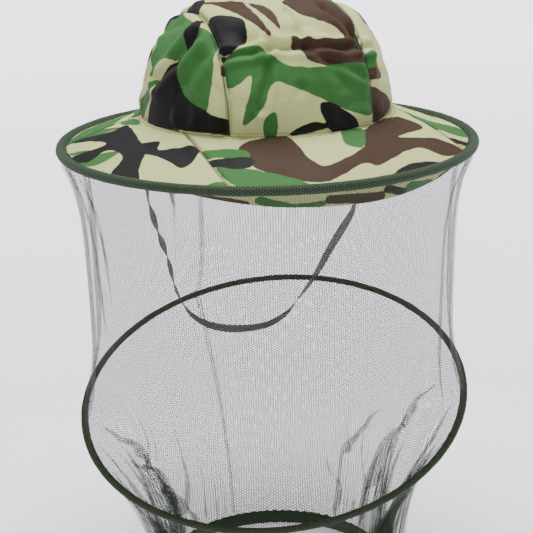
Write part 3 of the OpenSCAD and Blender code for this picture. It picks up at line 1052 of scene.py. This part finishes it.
def make_crown():
    back = scattered_strokes(11, (60, 175), (4, 90), (5, 6, 4))
    back_left = scattered_strokes(12, (-178, -130), (4, 90), (3, 3, 2))
    strip_back = scattered_strokes(13, (140, 215), (10, 100), (4, 5, 3))
    centre = crown_panel(
        "crown_centre_cloth", lambda t: seam_arc(-1, t), lambda t: seam_arc(1, t), 200, 84,
        CROWN_PATCHES["centre"], strip_back, "crown_centre_panel")
    left = crown_panel(
        "crown_left_cloth", lambda t: base_arc(-1, t), lambda t: seam_arc(-1, t), 160, 60,
        CROWN_PATCHES["left"], back_left, "crown_left_panel")
    right = crown_panel(
        "crown_right_cloth", lambda t: base_arc(1, t), lambda t: seam_arc(1, t), 160, 60,
        CROWN_PATCHES["right"], back, "crown_right_panel")


def crown_seam_line(side, offset, lift):
    """A line beside a crown seam on the worn cloth, with the cloth's normals."""
    t = np.linspace(0.01, 0.99, 240)
    line = seam_arc(side, t)
    line[:, 0] += offset
    dome = turned(on_dome(line), CROWN_TURN)
    return crown_cloth_at(dome, -lift), dome_normals(dome)


def make_crown_stitching():
    lines = []
    for side in (-1, 1):
        for offset in (-2.6 * MM, 2.6 * MM):
            lines.append(crown_seam_line(side, offset, 0.1 * MM))
    height = 2.6 * MM
    ring = np.array([crown_place(a, height) for a in np.linspace(0, 360, 500)])
    lines.append((crown_cloth_at(ring, -0.1 * MM), dome_normals(ring)))
    stitching("crown_stitching", lines, "root")


def make_seam_tapes():
    """The tape that covers each crown seam inside, following the worn cloth."""
    for side, name in ((-1, "left"), (1, "right")):
        t = np.linspace(0.12, 0.88, 120)
        offsets = np.linspace(-6, 6, 7) * MM
        rows = []
        for offset in offsets:
            line = seam_arc(side, t)
            line[:, 0] += offset
            dome = turned(on_dome(line), CROWN_TURN)
            rows.append(dome - dome_normals(dome) * (CLOTH_T + 3.4 * MM))
        points = np.stack(rows, 1)
        tape = sheet_object(f"crown_{name}_tape", points, cloth_uv(points), (0, 0, 0))
        apply_modifier(tape, "SOLIDIFY", thickness=0.5 * MM, offset=-1)
        paint(tape, TAPE)
        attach(tape, "root")
        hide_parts(f"crown_{name}_seam_tape")


def make_sweatband():
    """A folded band round the head opening, with small puckers along its sewn edge."""
    band_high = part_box("sweatband")[1]
    outline = [(0.0, 0.3), (0.0, 27.2), (-0.5, 27.9), (-1.2, 27.4), (-1.5, 20.0), (-1.4, 8.0),
               (-1.3, 2.0), (-1.0, 0.4)]
    base_r = band_high.x - 1.2 * MM
    azimuths = np.linspace(0, 360, 361)[:-1]
    pucker = 0.35 * MM * np.sin(np.radians(azimuths * 47))
    pucker = pucker + 0.25 * MM * np.sin(np.radians(azimuths * 31 + 40))
    rows = []
    for r, z in outline:
        fade = 1 - z / 40
        ring = plan(base_r + r * MM, azimuths) * (1 + pucker * fade / base_r)[:, None]
        rows.append(np.concatenate([ring, np.full((len(azimuths), 1), z * MM)], 1))
    points = np.stack(rows + rows[:1], 0)
    uv = cloth_uv(points, closed=True)
    band = sheet_object("sweatband_cloth", points, uv, (0, 0, 14 * MM), closed=True)
    weld(band)
    cap_ends(band)
    paint(band, BAND_CLOTH)
    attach(band, "root")
    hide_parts("sweatband")
    heights = np.full((len(azimuths), 1), 24 * MM)
    ring = np.concatenate([plan(base_r - 1.55 * MM, azimuths), heights], 1)
    inward = -ring * np.array([1, 1, 0]) / np.linalg.norm(ring[:, :2], axis=1)[:, None]
    stitching("sweatband_stitching", [(ring, inward)], "root")


# ---------------------------------------------------------------- brim

BRIM_INNER_R = CROWN_R - 1 * MM
BRIM_OUTER_R = RIM_R - RIM_TUBE_R - 0.2 * MM
# Each side's two seams: azimuth at the crown and at the rim
BRIM_SEAMS = ((FRONT_INNER_A, FRONT_OUTER_A), (BACK_SEAM_A, BACK_SEAM_A))


def brim_relief(x, y):
    """Height of the brim's ripples above its plain cone."""
    r = np.hypot(x, y)
    azimuth = np.arctan2(x, -y)
    share = np.clip((r - BRIM_INNER_R) / (BRIM_OUTER_R - BRIM_INNER_R), 0, 1)
    loose = np.sin(np.pi * share)
    points = np.stack([x, y, np.zeros_like(x)], -1)
    rise = 1.6 * MM * np.sin(3 * azimuth + 0.6) + 0.9 * MM * np.sin(7 * azimuth + 1.1)
    rise = rise + 1.2 * MM * ripple(points, 0.05, 5) + 0.5 * MM * ripple(points, 0.018, 6)
    gathers = 0.5 * MM * np.sin(53 * azimuth + 2 * np.sin(5 * azimuth)) * bump(share, 0.35)
    return rise * loose + gathers * np.clip(share * 8, 0, 1)


def brim_seam_gap(x, y):
    """Distance to the nearest of the brim's four seams."""
    gap = np.full_like(x, 1.0)
    for side in (-1, 1):
        for a, b in BRIM_SEAMS:
            start = plan(BRIM_INNER_R, side * a + BRIM_TURN)
            end = plan(BRIM_OUTER_R, side * b + BRIM_TURN)
            gap = np.minimum(gap, gap_to_line(x, y, start, end))
    return gap


def brim_surface(xy):
    """The brim cloth's upper side above points seen in plan."""
    x, y = xy[..., 0], xy[..., 1]
    share = (np.hypot(x, y) - BRIM_INNER_R) / (BRIM_OUTER_R - BRIM_INNER_R)
    seam = brim_seam_gap(x, y)
    z = share * (RIM_Z + 0.35 * MM) + brim_relief(x, y)
    welt = 0.5 * MM * bump(seam - 6 * MM, 4 * MM) - 0.9 * MM * bump(seam, 1.6 * MM)
    z = z + welt * np.clip(share * 12, 0, 1)
    return np.stack([x, y, z], -1)


def brim_place(azimuth, r):
    """A point of the brim at an azimuth and a radius."""
    return brim_surface(plan(r, azimuth)[None])[0]


def brim_panel(name, inner, outer, cols, patches, strokes, replaced):
    """A panel between two inner azimuths and two outer ones."""
    rows = 44
    start = plan(BRIM_INNER_R, np.linspace(*inner, cols) + BRIM_TURN)
    end = plan(BRIM_OUTER_R + 2 * MM, np.linspace(*outer, cols) + BRIM_TURN)
    share = np.linspace(0, 1, rows)[:, None, None]
    points = brim_surface(start * (1 - share) + end * share)
    panel = sheet_object(name, points, cloth_uv(points), (0, 0, -1))
    print_cloth(panel, brim_place, patches, strokes)
    places = np.array([v.co for v in panel.data.vertices])
    store(panel, "seam", brim_seam_gap(places[:, 0], places[:, 1]))
    apply_modifier(panel, "SOLIDIFY", thickness=CLOTH_T, offset=-1)
    paint(panel, CAMOUFLAGE)
    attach(panel, "root")
    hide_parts(replaced)


def make_brim():
    back = scattered_strokes(21, (110, 240), (120, 184), (6, 7, 6))
    right = scattered_strokes(22, (72, 112), (118, 184), (2, 2, 2))
    behind = (BACK_SEAM_A, 360 - BACK_SEAM_A)
    brim_panel(
        "brim_front_cloth", (-FRONT_INNER_A, FRONT_INNER_A), (-FRONT_OUTER_A, FRONT_OUTER_A), 150,
        BRIM_PATCHES["front"], None, "brim_front_panel")
    brim_panel(
        "brim_left_cloth", (-BACK_SEAM_A, -FRONT_INNER_A), (-BACK_SEAM_A, -FRONT_OUTER_A), 110,
        BRIM_PATCHES["left"], None, "brim_left_panel")
    brim_panel(
        "brim_right_cloth", (FRONT_INNER_A, BACK_SEAM_A), (FRONT_OUTER_A, BACK_SEAM_A), 110,
        BRIM_PATCHES["right"], right, "brim_right_panel")
    brim_panel("brim_back_cloth", behind, behind, 170, None, back, "brim_back_panel")


def brim_line(start, end, lift):
    share = np.linspace(0.02, 0.97, 60)[:, None]
    points = brim_surface(start * (1 - share) + end * share)
    points[:, 2] += lift
    return points, np.tile([0.0, 0.0, 1.0], (len(points), 1))


def make_brim_stitching():
    lift = 0.12 * MM
    lines = []
    for side in (-1, 1):
        for a, b in BRIM_SEAMS:
            for shift in (-1.1, 1.1):
                start = plan(BRIM_INNER_R, side * a + BRIM_TURN + shift * 1.3)
                end = plan(BRIM_OUTER_R, side * b + BRIM_TURN + shift * 0.8)
                lines.append(brim_line(start, end, lift))
    azimuths = np.linspace(0, 360, 700)
    for r in (BRIM_INNER_R + 3.5 * MM, BRIM_OUTER_R - 1.6 * MM):
        ring = brim_surface(plan(r, azimuths))
        ring[:, 2] += lift
        lines.append((ring, np.tile([0.0, 0.0, 1.0], (len(ring), 1))))
    stitching("brim_stitching", lines, "root")


# Brush strokes on the facing: azimuth, drop below the head opening and half width
FACING_STROKES = {
    "brown": [[(-40, 36, 4), (-30, 42, 5)], [(-8, 40, 5), (6, 44, 6)], [(30, 40, 5), (42, 36, 4)]],
    "green": [[(-26, 38, 5), (-18, 46, 5), (-10, 44, 4)], [(16, 40, 6), (26, 44, 5)]],
    "black": [[(8, 36, 4), (14, 44, 4)], [(-46, 34, 3), (-42, 36, 4)]],
}


def facing_place(azimuth, drop):
    """A point of the facing at an azimuth and a drop below the head opening."""
    return np.append(plan(RIM_R - 5 * MM, azimuth), -drop)


def make_facing():
    """The strip that hangs inside the front edge and tapers away to each side."""
    azimuths = np.linspace(-FACING_A, FACING_A, 180)
    edge = math.cos(math.radians(FACING_A))
    depth = FACING_H * (np.cos(np.radians(azimuths)) - edge) / (1 - edge)
    top = RIM_Z - RIM_TUBE_R - 0.4 * MM
    rows = []
    for share in np.linspace(0, 1, 12):
        wave = 0.8 * MM * share * np.sin(np.radians(azimuths * 11))
        wave = wave + 0.3 * MM * np.sin(np.radians(azimuths * 29))
        radius = RIM_R - 2.6 * MM - 6 * MM * share + wave * np.clip(depth / FACING_H, 0, 1)
        z = top - depth * share
        rows.append(np.concatenate([plan(radius, azimuths), z[:, None]], 1))
    points = np.stack(rows, 0)
    facing = sheet_object("brim_facing_cloth", points, cloth_uv(points), (0, 0, top))
    print_cloth(facing, facing_place, None, FACING_STROKES)
    store(facing, "seam", np.full(len(facing.data.vertices), FAR_FROM_INK))
    apply_modifier(facing, "SOLIDIFY", thickness=CLOTH_T, offset=-1)
    paint(facing, CAMOUFLAGE)
    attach(facing, "root")
    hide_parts("brim_facing")


# ---------------------------------------------------------------- bindings


def binding_uv(obj, centre, turn, ring_r, tube_r):
    """UV in metres round the ring and round the tube."""
    layer = obj.data.uv_layers.get("cloth") or obj.data.uv_layers.new(name="cloth")
    inverse = turn.inverted()
    for face in obj.data.polygons:
        places = [inverse @ (obj.data.vertices[obj.data.loops[k].vertex_index].co - centre)
                  for k in face.loop_indices]
        angles = [math.atan2(p.y, p.x) for p in places]
        rounds = [math.atan2(p.z, math.hypot(p.x, p.y) - ring_r) for p in places]
        for values in (angles, rounds):
            if max(values) - min(values) > math.pi:
                values[:] = [v + 2 * math.pi if v < 0 else v for v in values]
        for k, a, b in zip(face.loop_indices, angles, rounds):
            layer.data[k].uv = (a * ring_r, b * tube_r)


def make_binding(name, centre, turn, ring_r, tube_r, flange, body, replaced, material, seed):
    """A ring of tube covered with cloth. The cloth's two edges meet in a sewn flange
    inside the ring."""
    deselect()
    bpy.ops.mesh.primitive_torus_add(
        major_segments=420, minor_segments=28, major_radius=ring_r, minor_radius=tube_r - 0.15 * MM)
    ring = bpy.context.active_object
    ring.name = name
    bpy.ops.object.mode_set(mode="EDIT")
    bpy.ops.mesh.select_all(action="DESELECT")
    bpy.ops.object.mode_set(mode="OBJECT")
    inner = ring_r - tube_r * math.cos(math.radians(20))
    for v in ring.data.vertices:
        v.select = math.hypot(v.co.x, v.co.y) < inner
    bpy.ops.object.mode_set(mode="EDIT")
    shrink = (ring_r - tube_r - flange) / (ring_r - tube_r)
    bpy.ops.transform.resize(value=(shrink, shrink, 0.55))
    bpy.ops.object.mode_set(mode="OBJECT")
    place = turn.to_4x4()
    place.translation = centre
    ring.data.transform(place)
    lumps = np.array([v.co for v in ring.data.vertices])
    normals = np.array([v.normal for v in ring.data.vertices])
    move = 0.22 * MM * ripple(lumps, 0.012, seed) + 0.12 * MM * ripple(lumps, 0.004, seed + 1)
    lumps = lumps + normals * move[:, None]
    ring.data.vertices.foreach_set("co", lumps.ravel())
    ring.data.update()
    binding_uv(ring, centre, turn, ring_r, tube_r)
    ring.data.polygons.foreach_set("use_smooth", [True] * len(ring.data.polygons))
    paint(ring, material)
    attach(ring, body)
    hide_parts(replaced)
    return ring


def ring_line(centre, turn, r, z, normal_r, normal_z):
    """A stitched line round a ring, in the ring's own plane, with the cloth's normals."""
    azimuths = np.linspace(0, 360, 720)
    flat = plan(r, azimuths)
    points = np.concatenate([flat, np.full((len(azimuths), 1), z)], 1)
    normals = np.concatenate([flat / r * normal_r, np.full((len(azimuths), 1), normal_z)], 1)
    matrix = np.array(turn)
    return points @ matrix.T + np.array(centre), normals @ matrix.T


def make_bindings():
    rim_centre, rim_turn = Vector((0, 0, RIM_Z)), Matrix.Identity(3)
    make_binding("brim_binding_cloth", rim_centre, rim_turn, RIM_R, RIM_TUBE_R, 2.6 * MM, "root",
                 "brim_binding", RIM_CLOTH, 31)
    hoop_centre = Vector((0, 0, HOOP_Z))
    hoop_turn = Matrix.Rotation(HOOP_TURN, 3, "Z") @ Matrix.Rotation(HOOP_TILT, 3, "X")
    make_binding("hoop_binding_cloth", hoop_centre, hoop_turn, HOOP_R, HOOP_TUBE_R, 1.6 * MM, "hoop",
                 "hoop_binding", HOOP_CLOTH, 41)
    reach = RIM_TUBE_R + 0.9 * MM
    stitching("brim_binding_stitching", [
        ring_line(rim_centre, rim_turn, RIM_R - reach, 1.75 * MM, -0.3, 1.0),
        ring_line(rim_centre, rim_turn, RIM_R - reach, -1.75 * MM, -0.3, -1.0),
    ], "root")
    reach = HOOP_TUBE_R + 0.5 * MM
    stitching("hoop_binding_stitching", [
        ring_line(hoop_centre, hoop_turn, HOOP_R - reach, 1.15 * MM, -0.3, 1.0),
        ring_line(hoop_centre, hoop_turn, HOOP_R - reach, -1.15 * MM, -0.3, -1.0),
    ], "hoop")


# ---------------------------------------------------------------- net


def rim_points(r, b, z):
    """Points of a level ring, b radians round from the hoop's lowest point."""
    level = np.broadcast_to(z, np.shape(b))
    return turned(np.stack([r * np.sin(b), -r * np.cos(b), level], -1), HOOP_TURN)


def hoop_points(r, b):
    """Points of a ring in the tilted hoop's plane, b radians round from its lowest point."""
    flat = np.stack([r * np.sin(b), -r * np.cos(b) * math.cos(HOOP_TILT),
                     -r * np.cos(b) * math.sin(HOOP_TILT)], -1)
    return turned(flat, HOOP_TURN) + np.array([0, 0, HOOP_Z])


UPPER_TOP_Z = RIM_Z - RIM_TUBE_R - 0.2 * MM
LOWER_END_Z = HEM_HIGH.z + 0.2 * MM
LOWER_NET_L = HOOP_Z - LOWER_END_Z


def upper_net_points(t, b, out=0.0):
    """The plain net between the hoops, t from 0 at the brim edge to 1 at the hoop."""
    top = rim_points(RIM_R, b, UPPER_TOP_Z)
    bottom = hoop_points(HOOP_R, b) + np.array([0, 0, HOOP_TUBE_R + 0.2 * MM])
    draw = NET_WAIST * (1 - np.abs(2 * t - 1) ** 4)
    return spread(top + (bottom - top) * t[..., None], out - draw)


def lower_net_points(t, b, out=0.0):
    """The plain net below the hoop, t from 0 at the hoop to 1 at the hem."""
    top = hoop_points(HOOP_R, b) - np.array([0, 0, HOOP_TUBE_R + 0.2 * MM])
    bottom = rim_points(HEM_R, b, LOWER_END_Z)
    inwards = 1 - (1 - t) ** 1.8
    r = np.hypot(top[..., 0], top[..., 1]) * (1 - inwards) + HEM_R * inwards
    level = top * (1 - t[..., None]) + bottom * t[..., None]
    return spread(level, r - np.hypot(level[..., 0], level[..., 1]) + out)


# Tucks in the upper net: azimuth, width and height of the fold in millimetres, its drift
# in degrees from top to bottom, and where down the net it fades, from 0 to 1.
TUCKS = [
    (-128, 3.6, 5.0, 2, 1.0), (-113, 6.0, 7.0, -2, 1.0), (-101, 5.5, 6.0, -3, 1.0),
    (-92, 2.6, 4.0, 7, 0.5), (-84, 2.2, 3.0, 5, 0.35),
    (44, 2.4, 3.0, -4, 0.8), (53, 5.5, 6.0, 3, 1.0), (63, 5.0, 6.0, -2, 1.0),
    (74, 3.4, 5.0, -4, 0.9), (166, 1.6, 2.5, 2, 0.4), (-168, 1.6, 2.5, -2, 0.5),
]
# How strongly each tuck's net is pulled back under itself
UNDERLAP = 2.8


def crowded(count, places, width, share):
    """Azimuths in radians round the net, closer together near the tucks."""
    fine = np.linspace(-math.pi, math.pi, 7201)
    density = np.ones_like(fine)
    for place in places:
        gap = angle_gap(fine, math.radians(place))
        density += share * np.exp(-(gap / width) ** 2)
    total = np.concatenate([[0], np.cumsum((density[1:] + density[:-1]) / 2)])
    return np.interp(np.arange(count) / count, total / total[-1], fine)


def make_upper_net():
    """The net from the brim edge to the hoop, with its sewn tucks and a little slack."""
    columns, rows = 1000, 76
    azimuths = crowded(columns, [tuck[0] for tuck in TUCKS], math.radians(6), 2.5)
    t = np.linspace(0, 1, rows)[:, None]
    b = azimuths[None, :] - HOOP_TURN
    shift, out = np.zeros((rows, columns)), np.zeros((rows, columns))
    for place, width, height, drift, reach in TUCKS:
        middle = math.radians(place) + math.radians(drift) * t
        u = angle_gap(azimuths[None, :], middle) * RIM_R / (width * MM)
        fade = np.clip((reach + 0.15 - t) / 0.25, 0, 1)
        fade = fade * np.clip(t / 0.03, 0, 1) * np.clip((1 - t) / 0.06, 0, 1)
        fold = np.exp(-u * u / 2) * fade
        shift -= UNDERLAP * width * MM * (u + 0.6 * np.sin(3 * u)) * fold
        out += height * MM * fold
    slack = 1.5 * MM * np.sin(5 * azimuths + 0.5)[None, :]
    slack = slack + 1.0 * MM * np.sin(11 * azimuths + 2.0)[None, :]
    ease = 1 - np.abs(2 * t - 1) ** 3
    down = np.broadcast_to(t, shift.shape)
    points = upper_net_points(down, b + shift / RIM_R, 0.65 * out + slack * ease)
    uv = cloth_uv(points, closed=True)
    net = sheet_object("upper_net_cloth", points, uv, (0, 0, -0.15), closed=True)
    paint(net, NET)
    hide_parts("upper_net")
    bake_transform(net)


# Slanting folds in the lower net: azimuth and share of the way down where each starts, the
# same where it ends, then its half width and height in millimetres.
SWAGS = [
    (-114, 0.10, -142, 0.66, 13, 22), (-116, 0.34, -154, 0.94, 14, 20),
    (-104, 0.05, -110, 0.80, 7, 12), (-84, 0.05, -70, 0.75, 6, 11),
    (-56, 0.10, -50, 0.80, 6, 9), (20, 0.05, 30, 0.70, 6, 10), (44, 0.05, 40, 0.85, 6, 12),
    (76, 0.12, 108, 0.88, 14, 24), (102, 0.42, 124, 0.76, 10, 16),
    (130, 0.70, 118, 0.96, 6, 10), (62, 0.05, 70, 0.75, 6, 12),
]
# How strongly a fold's net is pulled back under itself
OVERLAP = 2.7


def make_lower_net():
    """The net from the hoop to the hem: fine gathers, a slow sway and the slanting folds."""
    columns, rows = 1000, 90
    azimuths = np.linspace(-math.pi, math.pi, columns, endpoint=False)
    t = np.linspace(0, 1, rows)[:, None]
    b = azimuths[None, :] - HOOP_TURN
    waves = random_waves(5, (31, 43, 57, 71, 19))
    folds = sum(size * np.sin(n * azimuths[None, :] + start + 1.5 * t * np.sin(n))
                for n, size, start in waves)
    folds = folds / sum(size for _, size, _ in waves)
    sharp = np.sign(folds) * np.abs(folds) ** 0.8
    gather = 9 * MM * t ** 1.3 * np.clip((1 - t) / 0.04, 0.3, 1)
    slow = np.sin(7 * azimuths + 0.4) + 0.7 * np.sin(12 * azimuths + 1.3)
    sway = 3.5 * MM * np.sin(np.pi * t) * slow[None, :]
    # The gathers stand out most at the two sides, near azimuths 60 and -108
    sides = bump(np.cos(azimuths[None, :] + math.radians(24)) - 0.1, 0.6)
    out = gather * sharp * (1.6 + 1.6 * sides) + sway
    down, turn = np.broadcast_to(t, sharp.shape).copy(), np.zeros_like(sharp)
    for a0, t0, a1, t1, width, height in SWAGS:
        across = angle_gap(azimuths, math.radians(a0))[None, :] * HOOP_R
        run = np.array([math.radians(a1 - a0) * HOOP_R, (t1 - t0) * LOWER_NET_L])
        length = math.hypot(*run)
        along = (across * run[0] + (t - t0) * LOWER_NET_L * run[1]) / length
        side = (across * run[1] - (t - t0) * LOWER_NET_L * run[0]) / length
        share = np.clip(along / length, 0, 1)
        ends = np.clip(along / (8 * MM), 0, 1) * np.clip((length - along) / (20 * MM), 0, 1)
        hold = np.clip(t / 0.05, 0, 1) * np.clip((1 - t) / 0.08, 0, 1)
        fold = bump(side, width * MM * (0.12 + 1.1 * share)) * ends * hold
        out = out + height * MM * share * fold
        turn -= OVERLAP * side * fold * run[1] / length / HOOP_R
        down += OVERLAP * side * fold * run[0] / length / LOWER_NET_L
    points = lower_net_points(np.clip(down, 0, 1), b + turn, out)
    uv = cloth_uv(points, closed=True)
    net = sheet_object("lower_net_cloth", points, uv, (0, 0, -0.38), closed=True)
    paint(net, NET)
    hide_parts("lower_net")
    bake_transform(net)


def make_net_seams():
    """The folded tape that joins the net's two edges at the back, above and below the hoop."""
    offsets = np.linspace(-0.5, 0.5, 5) * NET_TAPE_W
    t = np.linspace(0, 1, 90)[:, None]
    for name, surface, radius, node, bodies, ends in (
        ("upper_net_tape", upper_net_points, RIM_R, "upper_net_seam", ("root", "hoop"),
         (UPPER_TOP_Z, HOOP_HIGH.z + 3 * MM)),
        ("lower_net_tape", lower_net_points, HOOP_R, "lower_net_seam", ("hoop", "hem"),
         (HOOP_LOW.z - 4 * MM, LOWER_END_Z)),
    ):
        b = NET_SEAM_A - HOOP_TURN + offsets[None, :] / radius
        tt = np.broadcast_to(t, (len(t), len(offsets)))
        pucker = 0.5 * MM * np.sin(60 * tt * math.pi) * np.ones_like(b)
        points = surface(tt, np.broadcast_to(b, tt.shape), 1.8 * MM + pucker)
        tape = sheet_object(name, points, cloth_uv(points), (0, 0, -0.25))
        paint(tape, NET_TAPE)
        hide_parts(node)
        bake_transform(tape)


# ---------------------------------------------------------------- hem


def make_hem():
    """The casing, gathered on its elastic into close ruffles."""
    azimuths = np.linspace(0, 2 * math.pi, 900, endpoint=False)
    waves = random_waves(8, (47, 61, 83))
    ruffle = sum(size * np.sin(n * azimuths + start) for n, size, start in waves) / 2
    height = HEM_HIGH.z - HEM_LOW.z
    outer = [(1.0, 0.0), (1.7, 0.12), (1.9, 0.3), (1.6, 0.5), (1.9, 0.7), (1.6, 0.9), (0.5, 1.0)]
    outline = outer + [(-r, share) for r, share in reversed(outer)]
    rows = []
    for r, share in outline + outline[:1]:
        sway = 0.9 * MM * ruffle * (1.2 if share in (0.0, 1.0) else 0.8)
        radius = HEM_R + r * MM + sway * np.sign(r)
        z = HEM_LOW.z + height * share + 0.4 * MM * np.sin(83 * azimuths + 1) * (share > 0.05)
        rows.append(np.stack([radius * np.sin(azimuths), -radius * np.cos(azimuths), z], -1))
    points = np.stack(rows, 0)
    hem = sheet_object("hem_casing_cloth", points, cloth_uv(points, closed=True),
                       (0, 0, (HEM_LOW.z + HEM_HIGH.z) / 2), closed=True)
    weld(hem)
    cap_ends(hem)
    paint(hem, HEM_CLOTH)
    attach(hem, "hem")
    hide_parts("hem_casing")
    ring = np.stack([(HEM_R + 2.4 * MM) * np.sin(azimuths), -(HEM_R + 2.4 * MM) * np.cos(azimuths),
                     np.full(len(azimuths), HEM_LOW.z + 0.85 * height)], -1)
    stitching("hem_stitching", [(ring, ring * np.array([1, 1, 0]))], "hem")


# ---------------------------------------------------------------- strap tabs


# Where the strap meets the sweatband, to the right and behind the middle, and how far out
# the tabs sit
TAB_X, TAB_Y = 105, 30
TAB_R = 109.3 * MM


def make_strap_tabs():
    """A folded cloth tab holds each end of the strap, sewn through with a cross."""
    for side, name in ((-1, "left"), (1, "right")):
        low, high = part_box(f"chin_strap_{name}_tab")
        matrix = Matrix.Rotation(side * math.atan2(TAB_X, -TAB_Y), 3, "Z")
        deselect()
        bpy.ops.mesh.primitive_cube_add(size=1)
        tab = bpy.context.active_object
        tab.name = f"chin_strap_{name}_tab_cloth"
        bpy.ops.transform.resize(value=(STRAP_W + 2 * MM, 0.9 * MM, high.z - low.z))
        bpy.ops.object.transform_apply(location=False, rotation=False, scale=True)
        bpy.ops.object.mode_set(mode="EDIT")
        bpy.ops.mesh.select_all(action="SELECT")
        bpy.ops.mesh.bevel(offset=0.3 * MM, segments=3)
        bpy.ops.mesh.subdivide(number_cuts=3)
        bpy.ops.object.mode_set(mode="OBJECT")
        place = matrix.to_4x4()
        place.translation = matrix @ Vector((0, -TAB_R, 0)) + Vector((0, 0, (low.z + high.z) / 2))
        tab.data.transform(place)
        layer = tab.data.uv_layers.active
        layer.name = "cloth"
        for loop in tab.data.loops:
            p = tab.data.vertices[loop.vertex_index].co
            layer.data[loop.index].uv = (p.x + p.y, p.z)
        activate(tab)
        bpy.ops.object.shade_smooth_by_angle(angle=math.radians(40))
        paint(tab, TAB_CLOTH)
        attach(tab, "root")
        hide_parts(f"chin_strap_{name}_tab")
        half_w, half_h = 4.5 * MM, 5 * MM
        corners = [(-half_w, -half_h), (half_w, -half_h), (half_w, half_h), (-half_w, half_h)]
        runs = [(corners[k], corners[(k + 1) % 4]) for k in range(4)]
        runs += [(corners[0], corners[2]), (corners[1], corners[3])]
        lines = []
        for a, b in runs:
            ends = [place @ Vector((x, 0.5 * MM, z + 3 * MM)) for x, z in (a, b)]
            path = np.linspace(ends[0], ends[1], 8)
            lines.append((path, np.tile(np.array(matrix @ Vector((0, 1, 0))), (8, 1))))
        stitching(f"chin_strap_{name}_tab_stitching", lines, "root", pitch=2.2 * MM,
                  length=1.8 * MM, radius=0.22 * MM)


# ---------------------------------------------------------------- hidden hard parts


def finish_hard_parts():
    """Materials for the wires, sleeves, tubes and elastic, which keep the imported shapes."""
    for node, material in (
        ("brim_wire", WIRE), ("hoop_wire", WIRE), ("brim_wire_tube", TUBE), ("hoop_wire_tube", TUBE),
        ("brim_wire_joiner", SLEEVE), ("hoop_wire_joiner", SLEEVE), ("hem_elastic", ELASTIC),
    ):
        paint(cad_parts[node], material)


# ---------------------------------------------------------------- floor and light

FLOOR_Z = HEM_LOW.z - 0.5 * MM
FLOOR_SIZE = 40
# The floor's own glow: where it starts to grow and where it is full, in metres from the middle
GLOW_NEAR, GLOW_FAR = 0.6, 3.5
GLOW_STRENGTH = 3.2


def studio_material():
    """Pale paper, with a soft glow that grows away from the middle, where the lamps fade."""
    material, n, out = new_material("studio paper", 0.9, 0.1)
    place = n.object_place()
    tone = n.ramp(n.noise(place, 1.2, 2.0), 0.3, 0.7, 0.0, 1.0)
    n.tree.links.new(n.mix(tone, rgb(0.79, 0.775, 0.82), rgb(0.81, 0.795, 0.835)), out["Base Color"])
    far = n.add("VectorMath", {0: place}, operation="LENGTH").outputs["Value"]
    glow = n.ramp(far, GLOW_NEAR, GLOW_FAR, 0.16, 0.85)
    n.tree.links.new(n.mix(glow, rgb(0, 0, 0), rgb(0.97, 0.92, 1.0)), out["Emission Color"])
    out["Emission Strength"].default_value = GLOW_STRENGTH
    return material


def make_studio():
    """A wide pale floor."""
    deselect()
    bpy.ops.mesh.primitive_plane_add(size=FLOOR_SIZE, location=(0, 0, FLOOR_Z))
    floor = bpy.context.active_object
    floor.name = "floor"
    paint(floor, studio_material())


def area_light(name, place, target, size, power, color):
    data = bpy.data.lights.new(name, "AREA")
    data.shape = "SQUARE"
    data.size = size
    data.energy = power
    data.color = color
    light = bpy.data.objects.new(name, data)
    bpy.context.scene.collection.objects.link(light)
    light.location = place
    light.rotation_mode = "QUATERNION"
    light.rotation_quaternion = (Vector(target) - Vector(place)).to_track_quat("-Z", "Y")


def make_lights():
    area_light("top_light", (0.1, 0.2, 2.2), (0, 0, 0), 1.8, 150, (1.0, 1.0, 1.0))
    area_light("left_light", (-1.6, -2.0, 0.9), (0, 0, -0.1), 1.6, 4, (1.0, 0.99, 0.97))
    area_light("right_light", (2.0, -1.2, 1.0), (0, 0, -0.15), 1.6, 4, (0.96, 0.97, 1.0))
    world = bpy.data.worlds.new("studio")
    world.use_nodes = True
    background = world.node_tree.nodes["Background"]
    background.inputs["Color"].default_value = rgb(0.93, 0.92, 0.97)
    background.inputs["Strength"].default_value = 0.3
    bpy.context.scene.world = world


# ---------------------------------------------------------------- the whole object

make_crown()
make_crown_stitching()
make_seam_tapes()
make_sweatband()
make_brim()
make_brim_stitching()
make_facing()
make_bindings()
make_upper_net()
make_lower_net()
make_net_seams()
make_hem()
make_strap_tabs()
finish_hard_parts()
make_studio()
make_lights()
